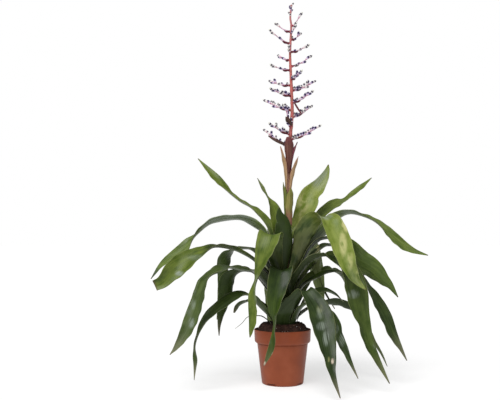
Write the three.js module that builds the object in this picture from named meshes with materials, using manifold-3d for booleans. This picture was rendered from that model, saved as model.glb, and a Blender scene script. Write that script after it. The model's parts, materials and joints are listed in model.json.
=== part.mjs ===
// Potted bromeliad: a rosette of strap leaves and a branched flower stem in a 12 cm nursery pot.
// Millimetres, +Z up, origin at the centre of the pot's underside.
import * as THREE from 'three';
import { mergeVertices } from 'three/addons/utils/BufferGeometryUtils.js';
import Module from 'manifold-3d';

const wasm = await Module();
wasm.setup();

// Pot
const POT_HEIGHT = 114;
const RIM_RADIUS = 60;
const RIM_STEP_RADIUS = 59;
const RIM_BOTTOM = 91;
const BODY_TOP = 84.5;
const BODY_TOP_RADIUS = 53.6;
const BODY_BOTTOM = 4;
const BODY_BOTTOM_RADIUS = 44;
const FOOT_RADIUS = 40;
const POT_WALL = 1.4;
const POT_FLOOR = 2.5;
const POT_SIDES = 36;
const NOTCH_COUNT = 4;
const FIRST_NOTCH = -123;
const NOTCH_REACH = 12;
const NOTCH_WIDTH = 22;
const NOTCH_HEIGHT = 5;

// Soil and the hole that the plant's foot stands in
const CLEARANCE = 0.3;
const SOIL_EDGE = 112;
const SOIL_MOUND = 14;
const SOIL_STEPS = [52, 46, 40, 35];
const HOLE_RADIUS = 32;
const FOOT_Z = 99;

// Rosette: leaf sheaths stand on rings about the short crown and spread as they rise
const FIRST_RING = 9;
const RING_PITCH = 2;
const RING_SPREAD = 2;
const RING_SPREAD_STEP = 1.2;
const SHEATH_LIP = 30;
const SHEATH_LIP_SHARE = 0.6;
const SHEATH_STEP = 42;
const LEAF_THICKNESS = 1;
const TIP_THICKNESS = 0.7;
const LEAF_STRIPS = 4;
const CHANNEL = 0.85;
const RING_HALF_ANGLE = [48, 51, 46, 41, 36, 32, 34, 34, 34, 30, 30];

// Flower stem
const STEM_SIDES = 8;
const STEM_ROUTE = [
  [0, 0, 128.5], [4, 0, 200], [10, 0, 280], [13, 0, 341], [12, 0, 370], [13, 0, 420], [14, 0, 452],
  [18, 0, 528], [20, 0, 549], [22, 0, 584], [21, 0, 612], [20, 0, 643], [18, 0, 691],
  [18, 0, 713], [19, 0, 735], [20.5, 0, 766], [18.5, 0, 785], [21, 0, 812],
];
// Its radius by height
const STEM_RADII = [
  [128.5, 5], [340, 6.3], [400, 5.3], [470, 4.5], [540, 3.8], [620, 3.3], [700, 2.6], [812, 1.9],
];

// Florets
const FLORET_LENGTH = 13.5;
const FLORET_RADIUS = 2.2;
const FLORET_SIDES = 5;
const FLORET_LEAN = 12;
const FLORET_SPACING = 11.5;
const FIRST_FLORET = 0.27;
const LAST_FLORET = 0.88;
const TOP_FLORETS = 5;
const TOP_FLORET_STEP = 5;
const TOP_FLORET_LENGTH = 10;
const RACHIS_RADIUS = 1.7;
const RACHIS_TAPER = [0.9, 1, 0.95, 0.75, 0.55, 0.45];
const SPRAY_BRACT_WIDTH = 7;
const SPRAY_BRACT_SHAPE = [0.4, 1, 0.85, 0.15];
const SPRAY_BRACT_BOW = 0.63;
const BRACT_THICKNESS = 0.8;

const radians = THREE.MathUtils.degToRad;
const GOLDEN_TURN = radians(137.5);
const UP = new THREE.Vector3(0, 0, 1);
const lerp = THREE.MathUtils.lerp;

// A closed geometry with its doubled corners joined, as a solid
function solidOf(geometry) {
  const bare = geometry.clone();
  bare.deleteAttribute('normal');
  bare.deleteAttribute('uv');
  const joined = mergeVertices(bare, 1e-4);
  const index = joined.index.array;
  const faces = [];
  for (let i = 0; i < index.length; i += 3) {
    const [a, b, c] = [index[i], index[i + 1], index[i + 2]];
    if (a !== b && b !== c && c !== a) faces.push(a, b, c);
  }
  return new wasm.Manifold(new wasm.Mesh({
    numProp: 3,
    vertProperties: new Float32Array(joined.attributes.position.array),
    triVerts: new Uint32Array(faces),
  }));
}

function geometryOf(solid) {
  const mesh = solid.getMesh();
  const geometry = new THREE.BufferGeometry();
  geometry.setAttribute('position', new THREE.BufferAttribute(mesh.vertProperties, 3));
  geometry.setIndex(new THREE.BufferAttribute(mesh.triVerts, 1));
  geometry.computeVertexNormals();
  return geometry;
}

// A closed skin over rings of points, each ring with the same count, capped at both ends
function skin(rings) {
  const around = rings[0].length;
  const position = rings.flat().flatMap((point) => [point.x, point.y, point.z]);
  const index = [];
  for (let i = 0; i < rings.length - 1; i += 1) {
    for (let j = 0; j < around; j += 1) {
      const a = i * around + j;
      const b = i * around + ((j + 1) % around);
      index.push(a, b, b + around, a, b + around, a + around);
    }
  }
  return { position, index, around };
}

function closedGeometry({ position, index }) {
  const geometry = new THREE.BufferGeometry();
  geometry.setAttribute('position', new THREE.Float32BufferAttribute(position, 3));
  geometry.setIndex(index);
  return geometry;
}

// A round bar along a route, with a radius at each step
function bar(points, radii, sides) {
  const curve = new THREE.CatmullRomCurve3(points, false, 'catmullrom', 0.5);
  const steps = radii.length - 1;
  const rings = radii.map((radius, i) => {
    const centre = curve.getPoint(i / steps);
    const along = curve.getTangent(i / steps);
    const side = new THREE.Vector3(0.31, 0.95, 0.02).cross(along).normalize();
    const other = along.clone().cross(side);
    return Array.from({ length: sides }, (_, j) => {
      const turn = (j / sides) * Math.PI * 2;
      return centre.clone()
        .addScaledVector(side, Math.cos(turn) * radius)
        .addScaledVector(other, Math.sin(turn) * radius);
    });
  });
  const shape = skin(rings);
  const last = (rings.length - 1) * sides;
  for (let j = 1; j < sides - 1; j += 1) {
    shape.index.push(0, j + 1, j, last, last + j, last + j + 1);
  }
  return closedGeometry(shape);
}

// A curved blade: stations hold a centre, its directions, width, curl radius and thickness
function blade(stations) {
  const rings = stations.map(({ centre, across, inward, width, curl, thickness }) => {
    const inner = [];
    const outer = [];
    for (let j = 0; j <= LEAF_STRIPS; j += 1) {
      const turn = ((j / LEAF_STRIPS - 0.5) * width) / curl;
      const middle = centre.clone()
        .addScaledVector(across, Math.sin(turn) * curl)
        .addScaledVector(inward, (1 - Math.cos(turn)) * curl);
      const face = inward.clone().multiplyScalar(Math.cos(turn)).addScaledVector(across, -Math.sin(turn));
      inner.push(middle.clone().addScaledVector(face, thickness / 2));
      outer.push(middle.clone().addScaledVector(face, -thickness / 2));
    }
    return [...outer, ...inner.reverse()];
  });
  const shape = skin(rings);
  const { around } = shape;
  shape.index = [];
  for (let i = 0; i < rings.length - 1; i += 1) {
    for (let j = 0; j < around; j += 1) {
      const a = i * around + j;
      const b = i * around + ((j + 1) % around);
      // both faces take the same diagonal, so a thin blade never meets itself
      if (j <= LEAF_STRIPS) shape.index.push(a, b, b + around, a, b + around, a + around);
      else shape.index.push(a, b, a + around, b, b + around, a + around);
    }
  }
  const last = (rings.length - 1) * around;
  for (let j = 0; j < LEAF_STRIPS; j += 1) {
    const k = around - 1 - j;
    shape.index.push(j, k, k - 1, j, k - 1, j + 1);
    shape.index.push(last + j, last + k - 1, last + k, last + j, last + j + 1, last + k - 1);
  }
  return closedGeometry(shape);
}

// Pot: turned wall with a deeper rim band, and drain notches round its foot
function potSolid() {
  const inner = (radius) => radius - POT_WALL;
  const wall = [
    [0, 0], [FOOT_RADIUS, 0], [BODY_BOTTOM_RADIUS - 1, 1.2], [BODY_BOTTOM_RADIUS, BODY_BOTTOM],
    [BODY_TOP_RADIUS, BODY_TOP], [RIM_STEP_RADIUS, RIM_BOTTOM], [RIM_RADIUS, POT_HEIGHT - 1],
    [RIM_RADIUS - 0.5, POT_HEIGHT], [inner(RIM_RADIUS), POT_HEIGHT],
    [inner(RIM_STEP_RADIUS), RIM_BOTTOM + 1], [inner(BODY_TOP_RADIUS), BODY_TOP + 1],
    [inner(BODY_BOTTOM_RADIUS), BODY_BOTTOM], [FOOT_RADIUS + 1, POT_FLOOR], [0, POT_FLOOR],
  ].map(([radius, z]) => new THREE.Vector2(radius, z));
  let pot = solidOf(new THREE.LatheGeometry(wall, POT_SIDES).rotateX(Math.PI / 2));
  for (let i = 0; i < NOTCH_COUNT; i += 1) {
    const notch = new THREE.BoxGeometry(NOTCH_REACH, NOTCH_WIDTH, NOTCH_HEIGHT * 2)
      .translate(FOOT_RADIUS + NOTCH_REACH / 2, 0, 0)
      .rotateZ(radians(FIRST_NOTCH + (i * 360) / NOTCH_COUNT));
    pot = pot.subtract(solidOf(notch));
  }
  return geometryOf(pot);
}

// Crumbly soil: the height of its surface at a point
function soilHeight(x, y) {
  const radius = Math.hypot(x, y);
  const mound = SOIL_MOUND * THREE.MathUtils.smoothstep(RIM_STEP_RADIUS - 2 - radius, 0, 15);
  const crumbs = Math.sin(x * 0.61 + 1.3) * Math.sin(y * 0.53 - 0.4) * 1.1
    + Math.sin(x * 0.27 - y * 0.31) * 0.9 + Math.sin(x * 1.1 + y * 0.9) * 0.5;
  return SOIL_EDGE + mound + crumbs * THREE.MathUtils.smoothstep(RIM_STEP_RADIUS - 1 - radius, 0, 8);
}

function soilSolid() {
  const gap = POT_WALL + CLEARANCE;
  const profile = [
    [0, POT_FLOOR + CLEARANCE], [FOOT_RADIUS + 0.2, POT_FLOOR + CLEARANCE],
    [BODY_BOTTOM_RADIUS - gap, BODY_BOTTOM + 0.6], [BODY_TOP_RADIUS - gap, BODY_TOP + 1.5],
    [RIM_STEP_RADIUS - gap, RIM_BOTTOM + 1.4], [RIM_RADIUS - gap - 0.2, SOIL_EDGE],
    ...SOIL_STEPS.map((radius) => [radius, SOIL_EDGE]),
    [HOLE_RADIUS, SOIL_EDGE], [HOLE_RADIUS, FOOT_Z - CLEARANCE], [0, FOOT_Z - CLEARANCE],
  ].map(([radius, z]) => new THREE.Vector2(radius, z));
  const geometry = new THREE.LatheGeometry(profile, POT_SIDES).rotateX(Math.PI / 2);
  const at = geometry.attributes.position;
  for (let i = 0; i < at.count; i += 1) {
    if (Math.abs(at.getZ(i) - SOIL_EDGE) < 1e-6) at.setZ(i, soilHeight(at.getX(i), at.getY(i)));
  }
  return geometryOf(solidOf(geometry));
}

// Crown: the short woody foot that every leaf and the flower stem grow from
function crownSolid() {
  const profile = [
    [0, FOOT_Z], [5, FOOT_Z], [7, FOOT_Z + 3], [7.4, 118], [6.4, 125], [4, 128], [0, 128],
  ].map(([radius, z]) => new THREE.Vector2(radius, z));
  return geometryOf(solidOf(new THREE.LatheGeometry(profile, 12).rotateX(Math.PI / 2)));
}

// The radius of a ring of leaf sheaths at a height
function ringRadius(ring, z) {
  const rise = Math.max(0, z - FOOT_Z) / 100;
  return FIRST_RING + RING_PITCH * ring + (RING_SPREAD + RING_SPREAD_STEP * ring) * rise * rise;
}

// Rows are x, y, z, width and roll in degrees about the blade's own length, from sheath to tip
const LEAVES = [
  {
    azimuth: -92, ring: 0,
    rows: [
      [-1, -16, 250, 26, 0], [3, -22, 296, 42, 12], [3, -26, 337, 35, 25], [-4, -28, 354, 20, 25],
      [-7, -28, 371, 2, 25],
    ],
  },
  {
    azimuth: 60, ring: 0,
    rows: [
      [30, 38, 330, 28, 8], [52, 37, 374, 48, 25], [60, 43, 397, 46, 25], [74, 50, 413, 40, 25],
      [87, 56, 430, 28, 30], [99, 60, 454, 14, 30], [103, 62, 470, 2, 30],
    ],
  },
  {
    azimuth: 165, ring: 0,
    rows: [
      [-11, 8, 338, 30, -60], [-18, 12, 368, 30, -40], [-33, 16, 396, 22, 10], [-44, 20, 415, 16, 40],
      [-54, 24, 437, 2, 40],
    ],
  },
  {
    azimuth: -45, ring: 1, half: 30,
    rows: [
      [25, -13, 252, 19, -48], [34, -15, 287, 34, -65], [43, -19, 313, 43, -58], [56, -23, 333, 44, -54],
      [71, -29, 345, 44, -32], [86, -38, 350, 44, 0], [99, -50, 342, 44, 28], [109, -58, 322, 46, 44],
      [118, -64, 301, 46, 48], [127, -72, 272, 42, 48], [137, -82, 242, 30, 48], [150, -90, 219, 16, 48],
      [166, -96, 203, 2, 48],
    ],
  },
  {
    azimuth: 125, ring: 1,
    rows: [
      [-20, 34, 322, 34, 0], [-44, 54, 350, 40, 18], [-66, 66, 371, 42, 20], [-94, 82, 388, 38, 22],
      [-124, 100, 412, 32, 25], [-156, 118, 448, 22, -15], [-197, 138, 493, 2, -15],
    ],
  },
  {
    azimuth: -115, ring: 1, half: 38,
    rows: [
      [-20, -42, 271, 42, 0], [-23, -56, 303, 49, -6], [-24, -67, 313, 52, -6],
      [-28, -78, 299, 51, -5], [-34, -84, 279, 46, 5], [-43, -88, 246, 36, 30],
      [-52, -90, 216, 30, 55], [-58, -92, 190, 26, 25], [-58, -95, 146, 20, 5], [-62, -96, 121, 11, 5],
      [-65, -97, 108, 2, 5],
    ],
  },
  {
    azimuth: 44, ring: 2, half: 26,
    rows: [
      [22, 38, 262, 26, 0], [42, 54, 302, 32, 0], [70, 58, 332, 40, 0], [91, 64, 358, 44, 0],
      [114, 84, 377, 42, 12], [134, 98, 389, 38, 8], [150, 110, 396, 32, -10], [181, 128, 422, 20, 10],
      [208, 144, 447, 2, 10],
    ],
  },
  {
    azimuth: 180, ring: 2, half: 29,
    rows: [
      [-30, 0, 290, 34, 0], [-44, 0, 320, 38, 20], [-69, 2, 338, 42, 24], [-93, 4, 346, 44, 10],
      [-134, 8, 343, 42, 15], [-160, 10, 334, 40, 6], [-186, 12, 311, 38, -5],
      [-212, 14, 284, 32, -55], [-256, 16, 253, 18, -50], [-285, 18, 218, 2, -55],
    ],
  },
  {
    azimuth: 5, ring: 3, half: 24,
    rows: [
      [38, 3, 262, 26, 0], [66, 20, 298, 34, -48], [105, 48, 336, 42, -50], [130, 60, 354, 42, -24],
      [155, 68, 360, 40, -5], [187, 76, 352, 38, 12], [214, 84, 338, 36, 22], [240, 90, 315, 32, 50],
      [271, 96, 290, 24, 70], [298, 100, 277, 12, 80], [328, 104, 268, 2, 80],
    ],
  },
  {
    azimuth: -155, ring: 3, half: 36,
    rows: [
      [-56, -20, 254, 42, -10], [-83, -26, 272, 46, -5], [-109, -35, 283, 50, 0],
      [-142, -46, 286, 50, 0], [-167, -56, 274, 52, -15], [-201, -66, 255, 50, -45],
      [-226, -74, 237, 40, -75], [-245, -80, 216.5, 27, -80], [-259.5, -82, 209.5, 24, -80],
    ],
  },
  {
    azimuth: 104, ring: 3, half: 27,
    rows: [
      [-4, 40, 290, 36, 0], [-10, 76, 318, 44, 0], [-14, 124, 318, 44, 0], [-16, 162, 292, 34, 0],
      [-18, 184, 258, 16, 0], [-19, 192, 236, 2, 0],
    ],
  },
  {
    azimuth: -12, ring: 4,
    rows: [
      [42, -11, 250, 30, 5], [64, -13, 290, 36, 5], [90, -7, 304, 40, 0], [118, -5, 302, 40, -12],
      [139, -17, 286, 50, -40], [156, -20, 261, 54, -75], [187, -24, 241, 46, -75],
      [208, -28, 221, 30, -75], [223, -30, 207, 16, -75], [239, -32, 184, 2, -75],
    ],
  },
  {
    azimuth: 145, ring: 4, half: 26,
    rows: [
      [-61, 26, 277, 34, 5], [-86, 38, 282, 38, 0], [-106, 46, 279, 40, -12], [-120, 52, 268, 36, 10],
      [-128, 56, 254, 34, 30], [-133, 60, 235, 26, 50], [-135, 62, 212, 18, 50],
      [-139.5, 65, 169, 10, 40], [-145, 64, 126.5, 2, 40],
    ],
  },
  {
    azimuth: -120, ring: 4,
    rows: [
      [-53, -34, 233, 38, -10], [-82, -50, 239, 44, -5], [-112, -62, 244, 46, 0],
      [-132, -76, 236, 46, 5], [-154, -90, 221, 44, 25], [-167, -98, 181, 38, 8],
      [-180, -106, 145, 34, -10], [-192, -112, 118, 26, -20], [-209, -118, 91, 12, -20],
      [-222, -120, 76, 2, 10],
    ],
  },
  {
    azimuth: 70, ring: 4,
    rows: [
      [30, 52, 256, 38, 0], [46, 92, 288, 46, 0], [60, 138, 290, 46, 0], [72, 180, 262, 42, 0],
      [84, 212, 214, 34, 0], [92, 228, 168, 20, 0], [98, 238, 122, 2, 0],
    ],
  },
  {
    azimuth: 25, ring: 5,
    rows: [
      [58, 24, 254, 36, -5], [76, 30, 276, 40, -5], [98, 32, 289, 42, 0], [131, 30, 281, 42, 10],
      [158, 26, 250, 42, 20], [178, 20, 207, 40, 35], [199, 12, 172, 36, 65], [217, 4, 139, 32, 80],
      [231, -2, 103, 24, 85], [245, -8, 78, 12, 85], [259, -12, 51, 2, 85],
    ],
  },
  {
    azimuth: 168, ring: 5,
    rows: [
      [-56, 14, 225, 34, 0], [-76, 18, 234, 36, 0], [-97, 20, 231, 36, 15], [-117, 20, 215, 38, 50],
      [-123, 20, 183, 32, 55], [-129, 18, 153, 22, 50], [-135, 16, 122, 10, 40], [-136, 14, 97, 2, 40],
    ],
  },
  {
    azimuth: -55, ring: 5,
    rows: [
      [39, -35, 238, 31, 18], [58, -44, 258, 42, 15], [82, -48, 268, 46, 5], [101, -50, 265, 48, -5],
      [134, -54, 240, 50, 0], [148, -60, 199, 52, 15], [154, -66, 162, 46, 10], [162, -72, 134, 36, 0],
      [169, -80, 102, 28, 5], [182, -88, 74, 18, 15], [211, -96, 19, 2, 20],
    ],
  },
  {
    azimuth: 100, ring: 5,
    rows: [
      [-8, 60, 215, 38, 0], [-16, 105, 238, 46, 0], [-22, 150, 230, 44, 0], [-26, 190, 190, 36, 0],
      [-28, 215, 142, 24, 0], [-30, 228, 96, 12, 0], [-32, 235, 62, 2, 0],
    ],
  },
  {
    azimuth: -76, ring: 6, half: 28,
    rows: [
      [2, -44, 212, 38, 5], [0, -62, 237, 48, 0], [-3, -75, 240, 50, 0], [-8, -86, 222, 46, 5],
      [-14, -93, 188, 36, 25], [-16, -97, 159, 24, 50], [-14, -98, 143, 16, 80],
      [-16, -100, 119, 14, 80], [-20, -102, 95, 14, 35], [-26, -104, 79, 12, 15],
      [-37, -106, 54, 2, 15],
    ],
  },
  {
    azimuth: -140, ring: 6, half: 34,
    rows: [
      [-46, -30, 161, 38, -10], [-66, -36, 184, 40, -10], [-86, -42, 187, 42, -5],
      [-111, -51, 175, 42, -10], [-146, -64, 148, 38, 0], [-164, -78, 122, 32, 20],
      [-175, -88, 91, 26, 35], [-173, -94, 62, 16, 0], [-176, -98, 23, 2, 10],
    ],
  },
  {
    azimuth: 130, ring: 6, half: 36,
    rows: [
      [-54, 30, 165, 28, 5], [-75, 36, 168, 28, 0], [-95, 42, 159, 22, -10], [-105, 46, 143, 8, -15],
    ],
  },
  {
    azimuth: 5, ring: 7, half: 34,
    rows: [
      [44, 2, 203, 30, 0], [72, 4, 221, 32, 10], [95, 6, 232, 26, 15], [118, 8, 234, 14, 5],
      [137, 10, 228, 2, 0],
    ],
  },
  {
    azimuth: 178, ring: 7, half: 12,
    rows: [
      [-40, 0, 138, 9, 0], [-54, 2, 141, 8, 0], [-74, 4, 138, 6, 0], [-86, 6, 125, 5, 0],
      [-101, 8, 113, 2.5, 0],
    ],
  },
  {
    azimuth: 70, ring: 8, half: 36,
    rows: [
      [32, 62, 180, 38, 0], [58, 92, 211, 42, -15], [92, 104, 230, 40, -15], [124, 102, 228, 38, 48],
      [151, 98, 196, 34, 40], [177, 88, 130, 24, 50], [200, 80, 79, 19, 50], [217, 75, 51, 12, 50],
      [229.6, 70, 25, 2, 50],
    ],
  },
  {
    azimuth: -5, ring: 8, half: 28,
    rows: [
      [50, -8, 177, 28, 10], [68, -10, 191, 28, 20], [90, -12, 195, 24, 20], [111, -12, 187, 16, 12],
      [129, -12, 172, 2, 0],
    ],
  },
  {
    azimuth: 60, ring: 7, half: 12,
    rows: [
      [25, 37, 190, 14, 0], [43, 50, 224, 17, 0], [64, 56, 245, 20, -10], [76, 58, 255, 22, -40],
      [77, 60, 241, 24, -60], [81, 61, 225, 14, -60], [85, 62, 210, 5, -60], [93, 62, 190, 5, -50],
      [102, 62, 173, 4, -40], [115, 62, 151, 2, -40],
    ],
  },
  {
    azimuth: -34, ring: 9, half: 22,
    rows: [
      [42, -34, 163, 34, 10], [64, -50, 172, 40, 0], [81, -63, 166, 42, -15], [100, -78, 139, 40, 0],
      [106, -92, 115, 34, 5], [119, -106, 90, 22, 15], [131, -118, 64, 12, 15], [146, -128, 34, 2, 15],
    ],
  },
  {
    azimuth: 30, ring: 9, half: 20,
    rows: [
      [54, 20, 153, 26, -10], [77, 28, 161, 24, -18], [103, 36, 166, 26, -40], [125, 44, 164, 25, -38],
      [150, 52, 154, 18, -40], [168, 56, 140, 2, -40],
    ],
  },
  {
    azimuth: -92, ring: 10, half: 32,
    rows: [
      [4, -46, 152, 36, 8], [26, -57, 179, 38, 30], [46, -76, 199, 28, 5], [63, -91, 179, 42, -12],
      [73, -106, 156, 52, -15], [79, -120, 134, 50, -10], [84, -136, 105, 40, -15],
      [89, -152, 77, 28, -20], [93, -166, 50, 16, -25], [107, -186, 8, 2, -25],
    ],
  },
  {
    azimuth: -3, ring: 10, half: 8,
    rows: [
      [36, -2, 142, 8, 0], [49, -4, 157, 2, 0],
    ],
  },
];

// The sheath climbs its ring to a little below the first row, then the blade follows the rows
function leafGeometry({ azimuth, ring, rows, half = RING_HALF_ANGLE[ring] }) {
  const turn = radians(azimuth);
  const outward = new THREE.Vector3(Math.cos(turn), Math.sin(turn), 0);
  const sideways = new THREE.Vector3(-Math.sin(turn), Math.cos(turn), 0);
  const top = rows[0][2];
  const lip = FOOT_Z + Math.min(SHEATH_LIP, (top - FOOT_Z) * SHEATH_LIP_SHARE);
  const climb = Math.max(1, Math.round((top - lip) / SHEATH_STEP));
  const keys = [];
  for (let i = -1; i < climb; i += 1) {
    const z = i < 0 ? FOOT_Z : lerp(lip, top, i / climb);
    const radius = ringRadius(ring, z);
    const at = outward.clone().multiplyScalar(radius).setZ(z);
    keys.push({ at, width: 2 * radians(half) * radius, roll: 0, curl: radius });
  }
  rows.forEach(([x, y, z, width, roll]) => {
    keys.push({ at: new THREE.Vector3(x, y, z), width, roll, curl: width * CHANNEL });
  });
  const curve = new THREE.CatmullRomCurve3(keys.map((key) => key.at), false, 'catmullrom', 0.5);
  return blade(keys.map(({ at, width, roll, curl }, i) => {
    const share = i / (keys.length - 1);
    const along = i === 0 ? UP.clone() : curve.getTangent(share);
    const level = sideways.clone().addScaledVector(along, -sideways.dot(along)).normalize();
    const across = level.applyAxisAngle(along, radians(roll));
    const inward = along.clone().cross(across).normalize();
    const thickness = lerp(LEAF_THICKNESS, TIP_THICKNESS, share);
    return { centre: at, across, inward, width, curl, thickness };
  }));
}

const stemCurve = STEM_ROUTE.map(([x, y, z]) => new THREE.Vector3(x, y, z));

// The middle of the flower stem at a height
function stemAt(z) {
  const high = Math.max(1, stemCurve.findIndex((point) => point.z >= z));
  const [a, b] = [stemCurve[high - 1], stemCurve[high]];
  return a.clone().lerp(b, (z - a.z) / (b.z - a.z));
}

function stemRadius(z) {
  const high = Math.max(1, STEM_RADII.findIndex(([height]) => height >= z));
  const [[low, wide], [top, narrow]] = [STEM_RADII[high - 1], STEM_RADII[high]];
  return lerp(wide, narrow, (z - low) / (top - low));
}

// One floret: a five-sided bud from its root to its point
function floret(root, direction, length) {
  const profile = [[0, 0], [FLORET_RADIUS, 0.42], [0, 1]]
    .map(([radius, share]) => new THREE.Vector2(radius, share * length));
  const bud = new THREE.LatheGeometry(profile, FLORET_SIDES);
  bud.applyQuaternion(new THREE.Quaternion().setFromUnitVectors(new THREE.Vector3(0, 1, 0), direction));
  return solidOf(bud.translate(root.x, root.y, root.z));
}

// A narrow boat-shaped bract from a root, along a reach, bowed to one side of it
function boatBract(root, reach, bow, length, width) {
  const over = reach.clone().cross(UP).normalize().cross(reach).multiplyScalar(-1);
  const side = reach.clone().cross(over);
  const last = SPRAY_BRACT_SHAPE.length - 1;
  return solidOf(blade(SPRAY_BRACT_SHAPE.map((share, i) => ({
    centre: root.clone()
      .addScaledVector(reach, (i / last) * length)
      .addScaledVector(over, bow * Math.sin((i / last) * 2.2)),
    across: side,
    inward: over.clone().negate(),
    width: width * share,
    curl: width * CHANNEL,
    thickness: BRACT_THICKNESS,
  }))));
}

// A spray: its thin stalk, florets round it and one at its end, and the bract under it
function spray(base, tip, heading, bractLength, bractWidth = SPRAY_BRACT_WIDTH) {
  const span = tip.clone().sub(base);
  const length = span.length();
  const elbow = base.clone().addScaledVector(heading, 3);
  const middle = elbow.clone().lerp(tip, 0.5).addScaledVector(UP, -0.05 * length);
  const route = [base, elbow, middle, tip];
  const curve = new THREE.CatmullRomCurve3(route, false, 'catmullrom', 0.5);
  let solid = solidOf(bar(route, RACHIS_TAPER.map((share) => share * RACHIS_RADIUS), 5));
  const count = Math.max(2, Math.round((length * 0.72) / FLORET_SPACING));
  for (let i = 0; i < count; i += 1) {
    const t = lerp(FIRST_FLORET, LAST_FLORET, i / (count - 1));
    const along = curve.getTangent(t);
    const side = along.clone().cross(UP).normalize();
    const over = side.clone().cross(along);
    const sheltered = t * length < bractLength + FLORET_LENGTH;
    const free = (i * GOLDEN_TURN) % (Math.PI * 2);
    const turn = sheltered ? 0.4 + ((free % Math.PI) / Math.PI) * (Math.PI - 0.8) : free;
    const lean = radians(FLORET_LEAN);
    const direction = along.clone().multiplyScalar(Math.cos(lean))
      .addScaledVector(over, Math.sin(lean) * Math.sin(turn))
      .addScaledVector(side, Math.sin(lean) * Math.cos(turn))
      .normalize();
    solid = solid.add(floret(curve.getPoint(t), direction, FLORET_LENGTH));
  }
  const end = curve.getTangent(1);
  solid = solid.add(floret(curve.getPoint(1).addScaledVector(end, -2), end, FLORET_LENGTH));
  if (bractLength > 0) {
    const start = base.clone().addScaledVector(heading, 1.5).addScaledVector(UP, -0.6);
    const bow = SPRAY_BRACT_BOW * bractWidth;
    solid = solid.add(boatBract(start, span.normalize(), bow, bractLength, bractWidth));
  }
  return solid;
}

function headingTo(tip, base) {
  return new THREE.Vector3(tip.x - base.x, tip.y - base.y, 0).normalize();
}

// Sprays by the height of their root on the stem and the place of their tip, with the bract's length
const SPRAYS = [
  { root: 766, tip: [38, -12, 782], bract: 0 },
  { root: 754, tip: [-8, 12, 770], bract: 8 },
  { root: 737, tip: [38, 24, 752], bract: 8 },
  { root: 727, tip: [-20, -14, 748], bract: 14 },
  { root: 708, tip: [50, -18, 715], bract: 14 },
  { root: 692, tip: [-4, 30, 706], bract: 10 },
  { root: 678, tip: [58, 20, 700], bract: 16 },
  { root: 668, tip: [-17, -22, 673], bract: 14 },
  { root: 648, tip: [38, -36, 655], bract: 12 },
  { root: 636, tip: [-21, 22, 648], bract: 16 },
  { root: 625, tip: [67, 23, 646], bract: 18 },
  { root: 612, tip: [-18, -29, 620], bract: 18 },
  { root: 598, tip: [59, -26, 613], bract: 16, fallen: [44, -10, 572] },
  { root: 582, tip: [-32, 16, 603], bract: 22 },
  { root: 547, tip: [8, -20, 584], bract: 23, wide: 11 },
  { root: 568, tip: [61, 34, 593], bract: 24 },
  { root: 530, tip: [-20, -24, 545], bract: 20 },
  { root: 519, tip: [74, -16, 541], bract: 24 },
  { root: 504, tip: [-34, 20, 538], bract: 50, wide: 9 },
];
const SESSILE = [{ root: 750, tip: [26, -14, 756] }, { root: 709, tip: [16, -14, 713] }];

function stemSolid() {
  const radii = STEM_ROUTE.map(([, , z]) => stemRadius(z));
  let solid = solidOf(bar(stemCurve, radii, STEM_SIDES));
  const top = stemCurve.at(-1);
  for (let i = 0; i < TOP_FLORETS; i += 1) {
    const turn = i * GOLDEN_TURN;
    const root = stemAt(top.z - 3 - TOP_FLORET_STEP * i);
    const direction = new THREE.Vector3(Math.cos(turn) * 0.55, Math.sin(turn) * 0.55, 0.83).normalize();
    solid = solid.add(floret(root, direction, TOP_FLORET_LENGTH));
  }
  SESSILE.forEach(({ root, tip }) => {
    const base = stemAt(root);
    const end = new THREE.Vector3(...tip);
    solid = solid.add(spray(base, end, headingTo(end, base), 0));
  });
  return geometryOf(solid);
}

function sprayGeometry({ root, tip, bract, wide, fallen }) {
  const centre = stemAt(root);
  const end = new THREE.Vector3(...tip);
  const heading = headingTo(end, centre);
  const base = centre.addScaledVector(heading, stemRadius(root) + CLEARANCE + 0.1);
  let solid = spray(base, end, heading, bract, wide);
  if (fallen) {
    // an old bract that has dropped away from its spray
    const start = base.clone().addScaledVector(heading, 0.8);
    const reach = new THREE.Vector3(...fallen).sub(start);
    const length = reach.length();
    solid = solid.add(boatBract(start, reach.normalize(), 3, length, 6));
  }
  return geometryOf(solid);
}

// Bracts that clasp the stem below the flowers
const BRACTS = [
  { name: 'bract_green', azimuth: -152, root: 336, length: 90, width: 19, flare: 5, colour: 0x6f7a32 },
  { name: 'bract_olive', azimuth: -64, root: 334, length: 78, width: 24, flare: 5, layer: 1.7,
    colour: 0x7d7434 },
  { name: 'bract_tan_right', azimuth: -38, root: 396, length: 84, width: 14, flare: 18, colour: 0xa5805c },
  { name: 'bract_tan_left', azimuth: -146, root: 408, length: 94, width: 15, flare: 18, colour: 0xa07a58 },
  { name: 'bract_front', azimuth: -100, root: 446, length: 75, width: 21, flare: 13, layer: 1.7,
    colour: 0x7a4038, shape: [0.34, 0.5, 0.72, 0.92, 1, 0.42] },
  { name: 'bract_behind', azimuth: -22, root: 450, length: 62, width: 17, flare: 11, colour: 0x5c332e },
];

// Width along a bract, as a share of its widest
const BRACT_SHAPE = [0.45, 0.6, 0.85, 1, 0.72, 0.08];

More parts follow.
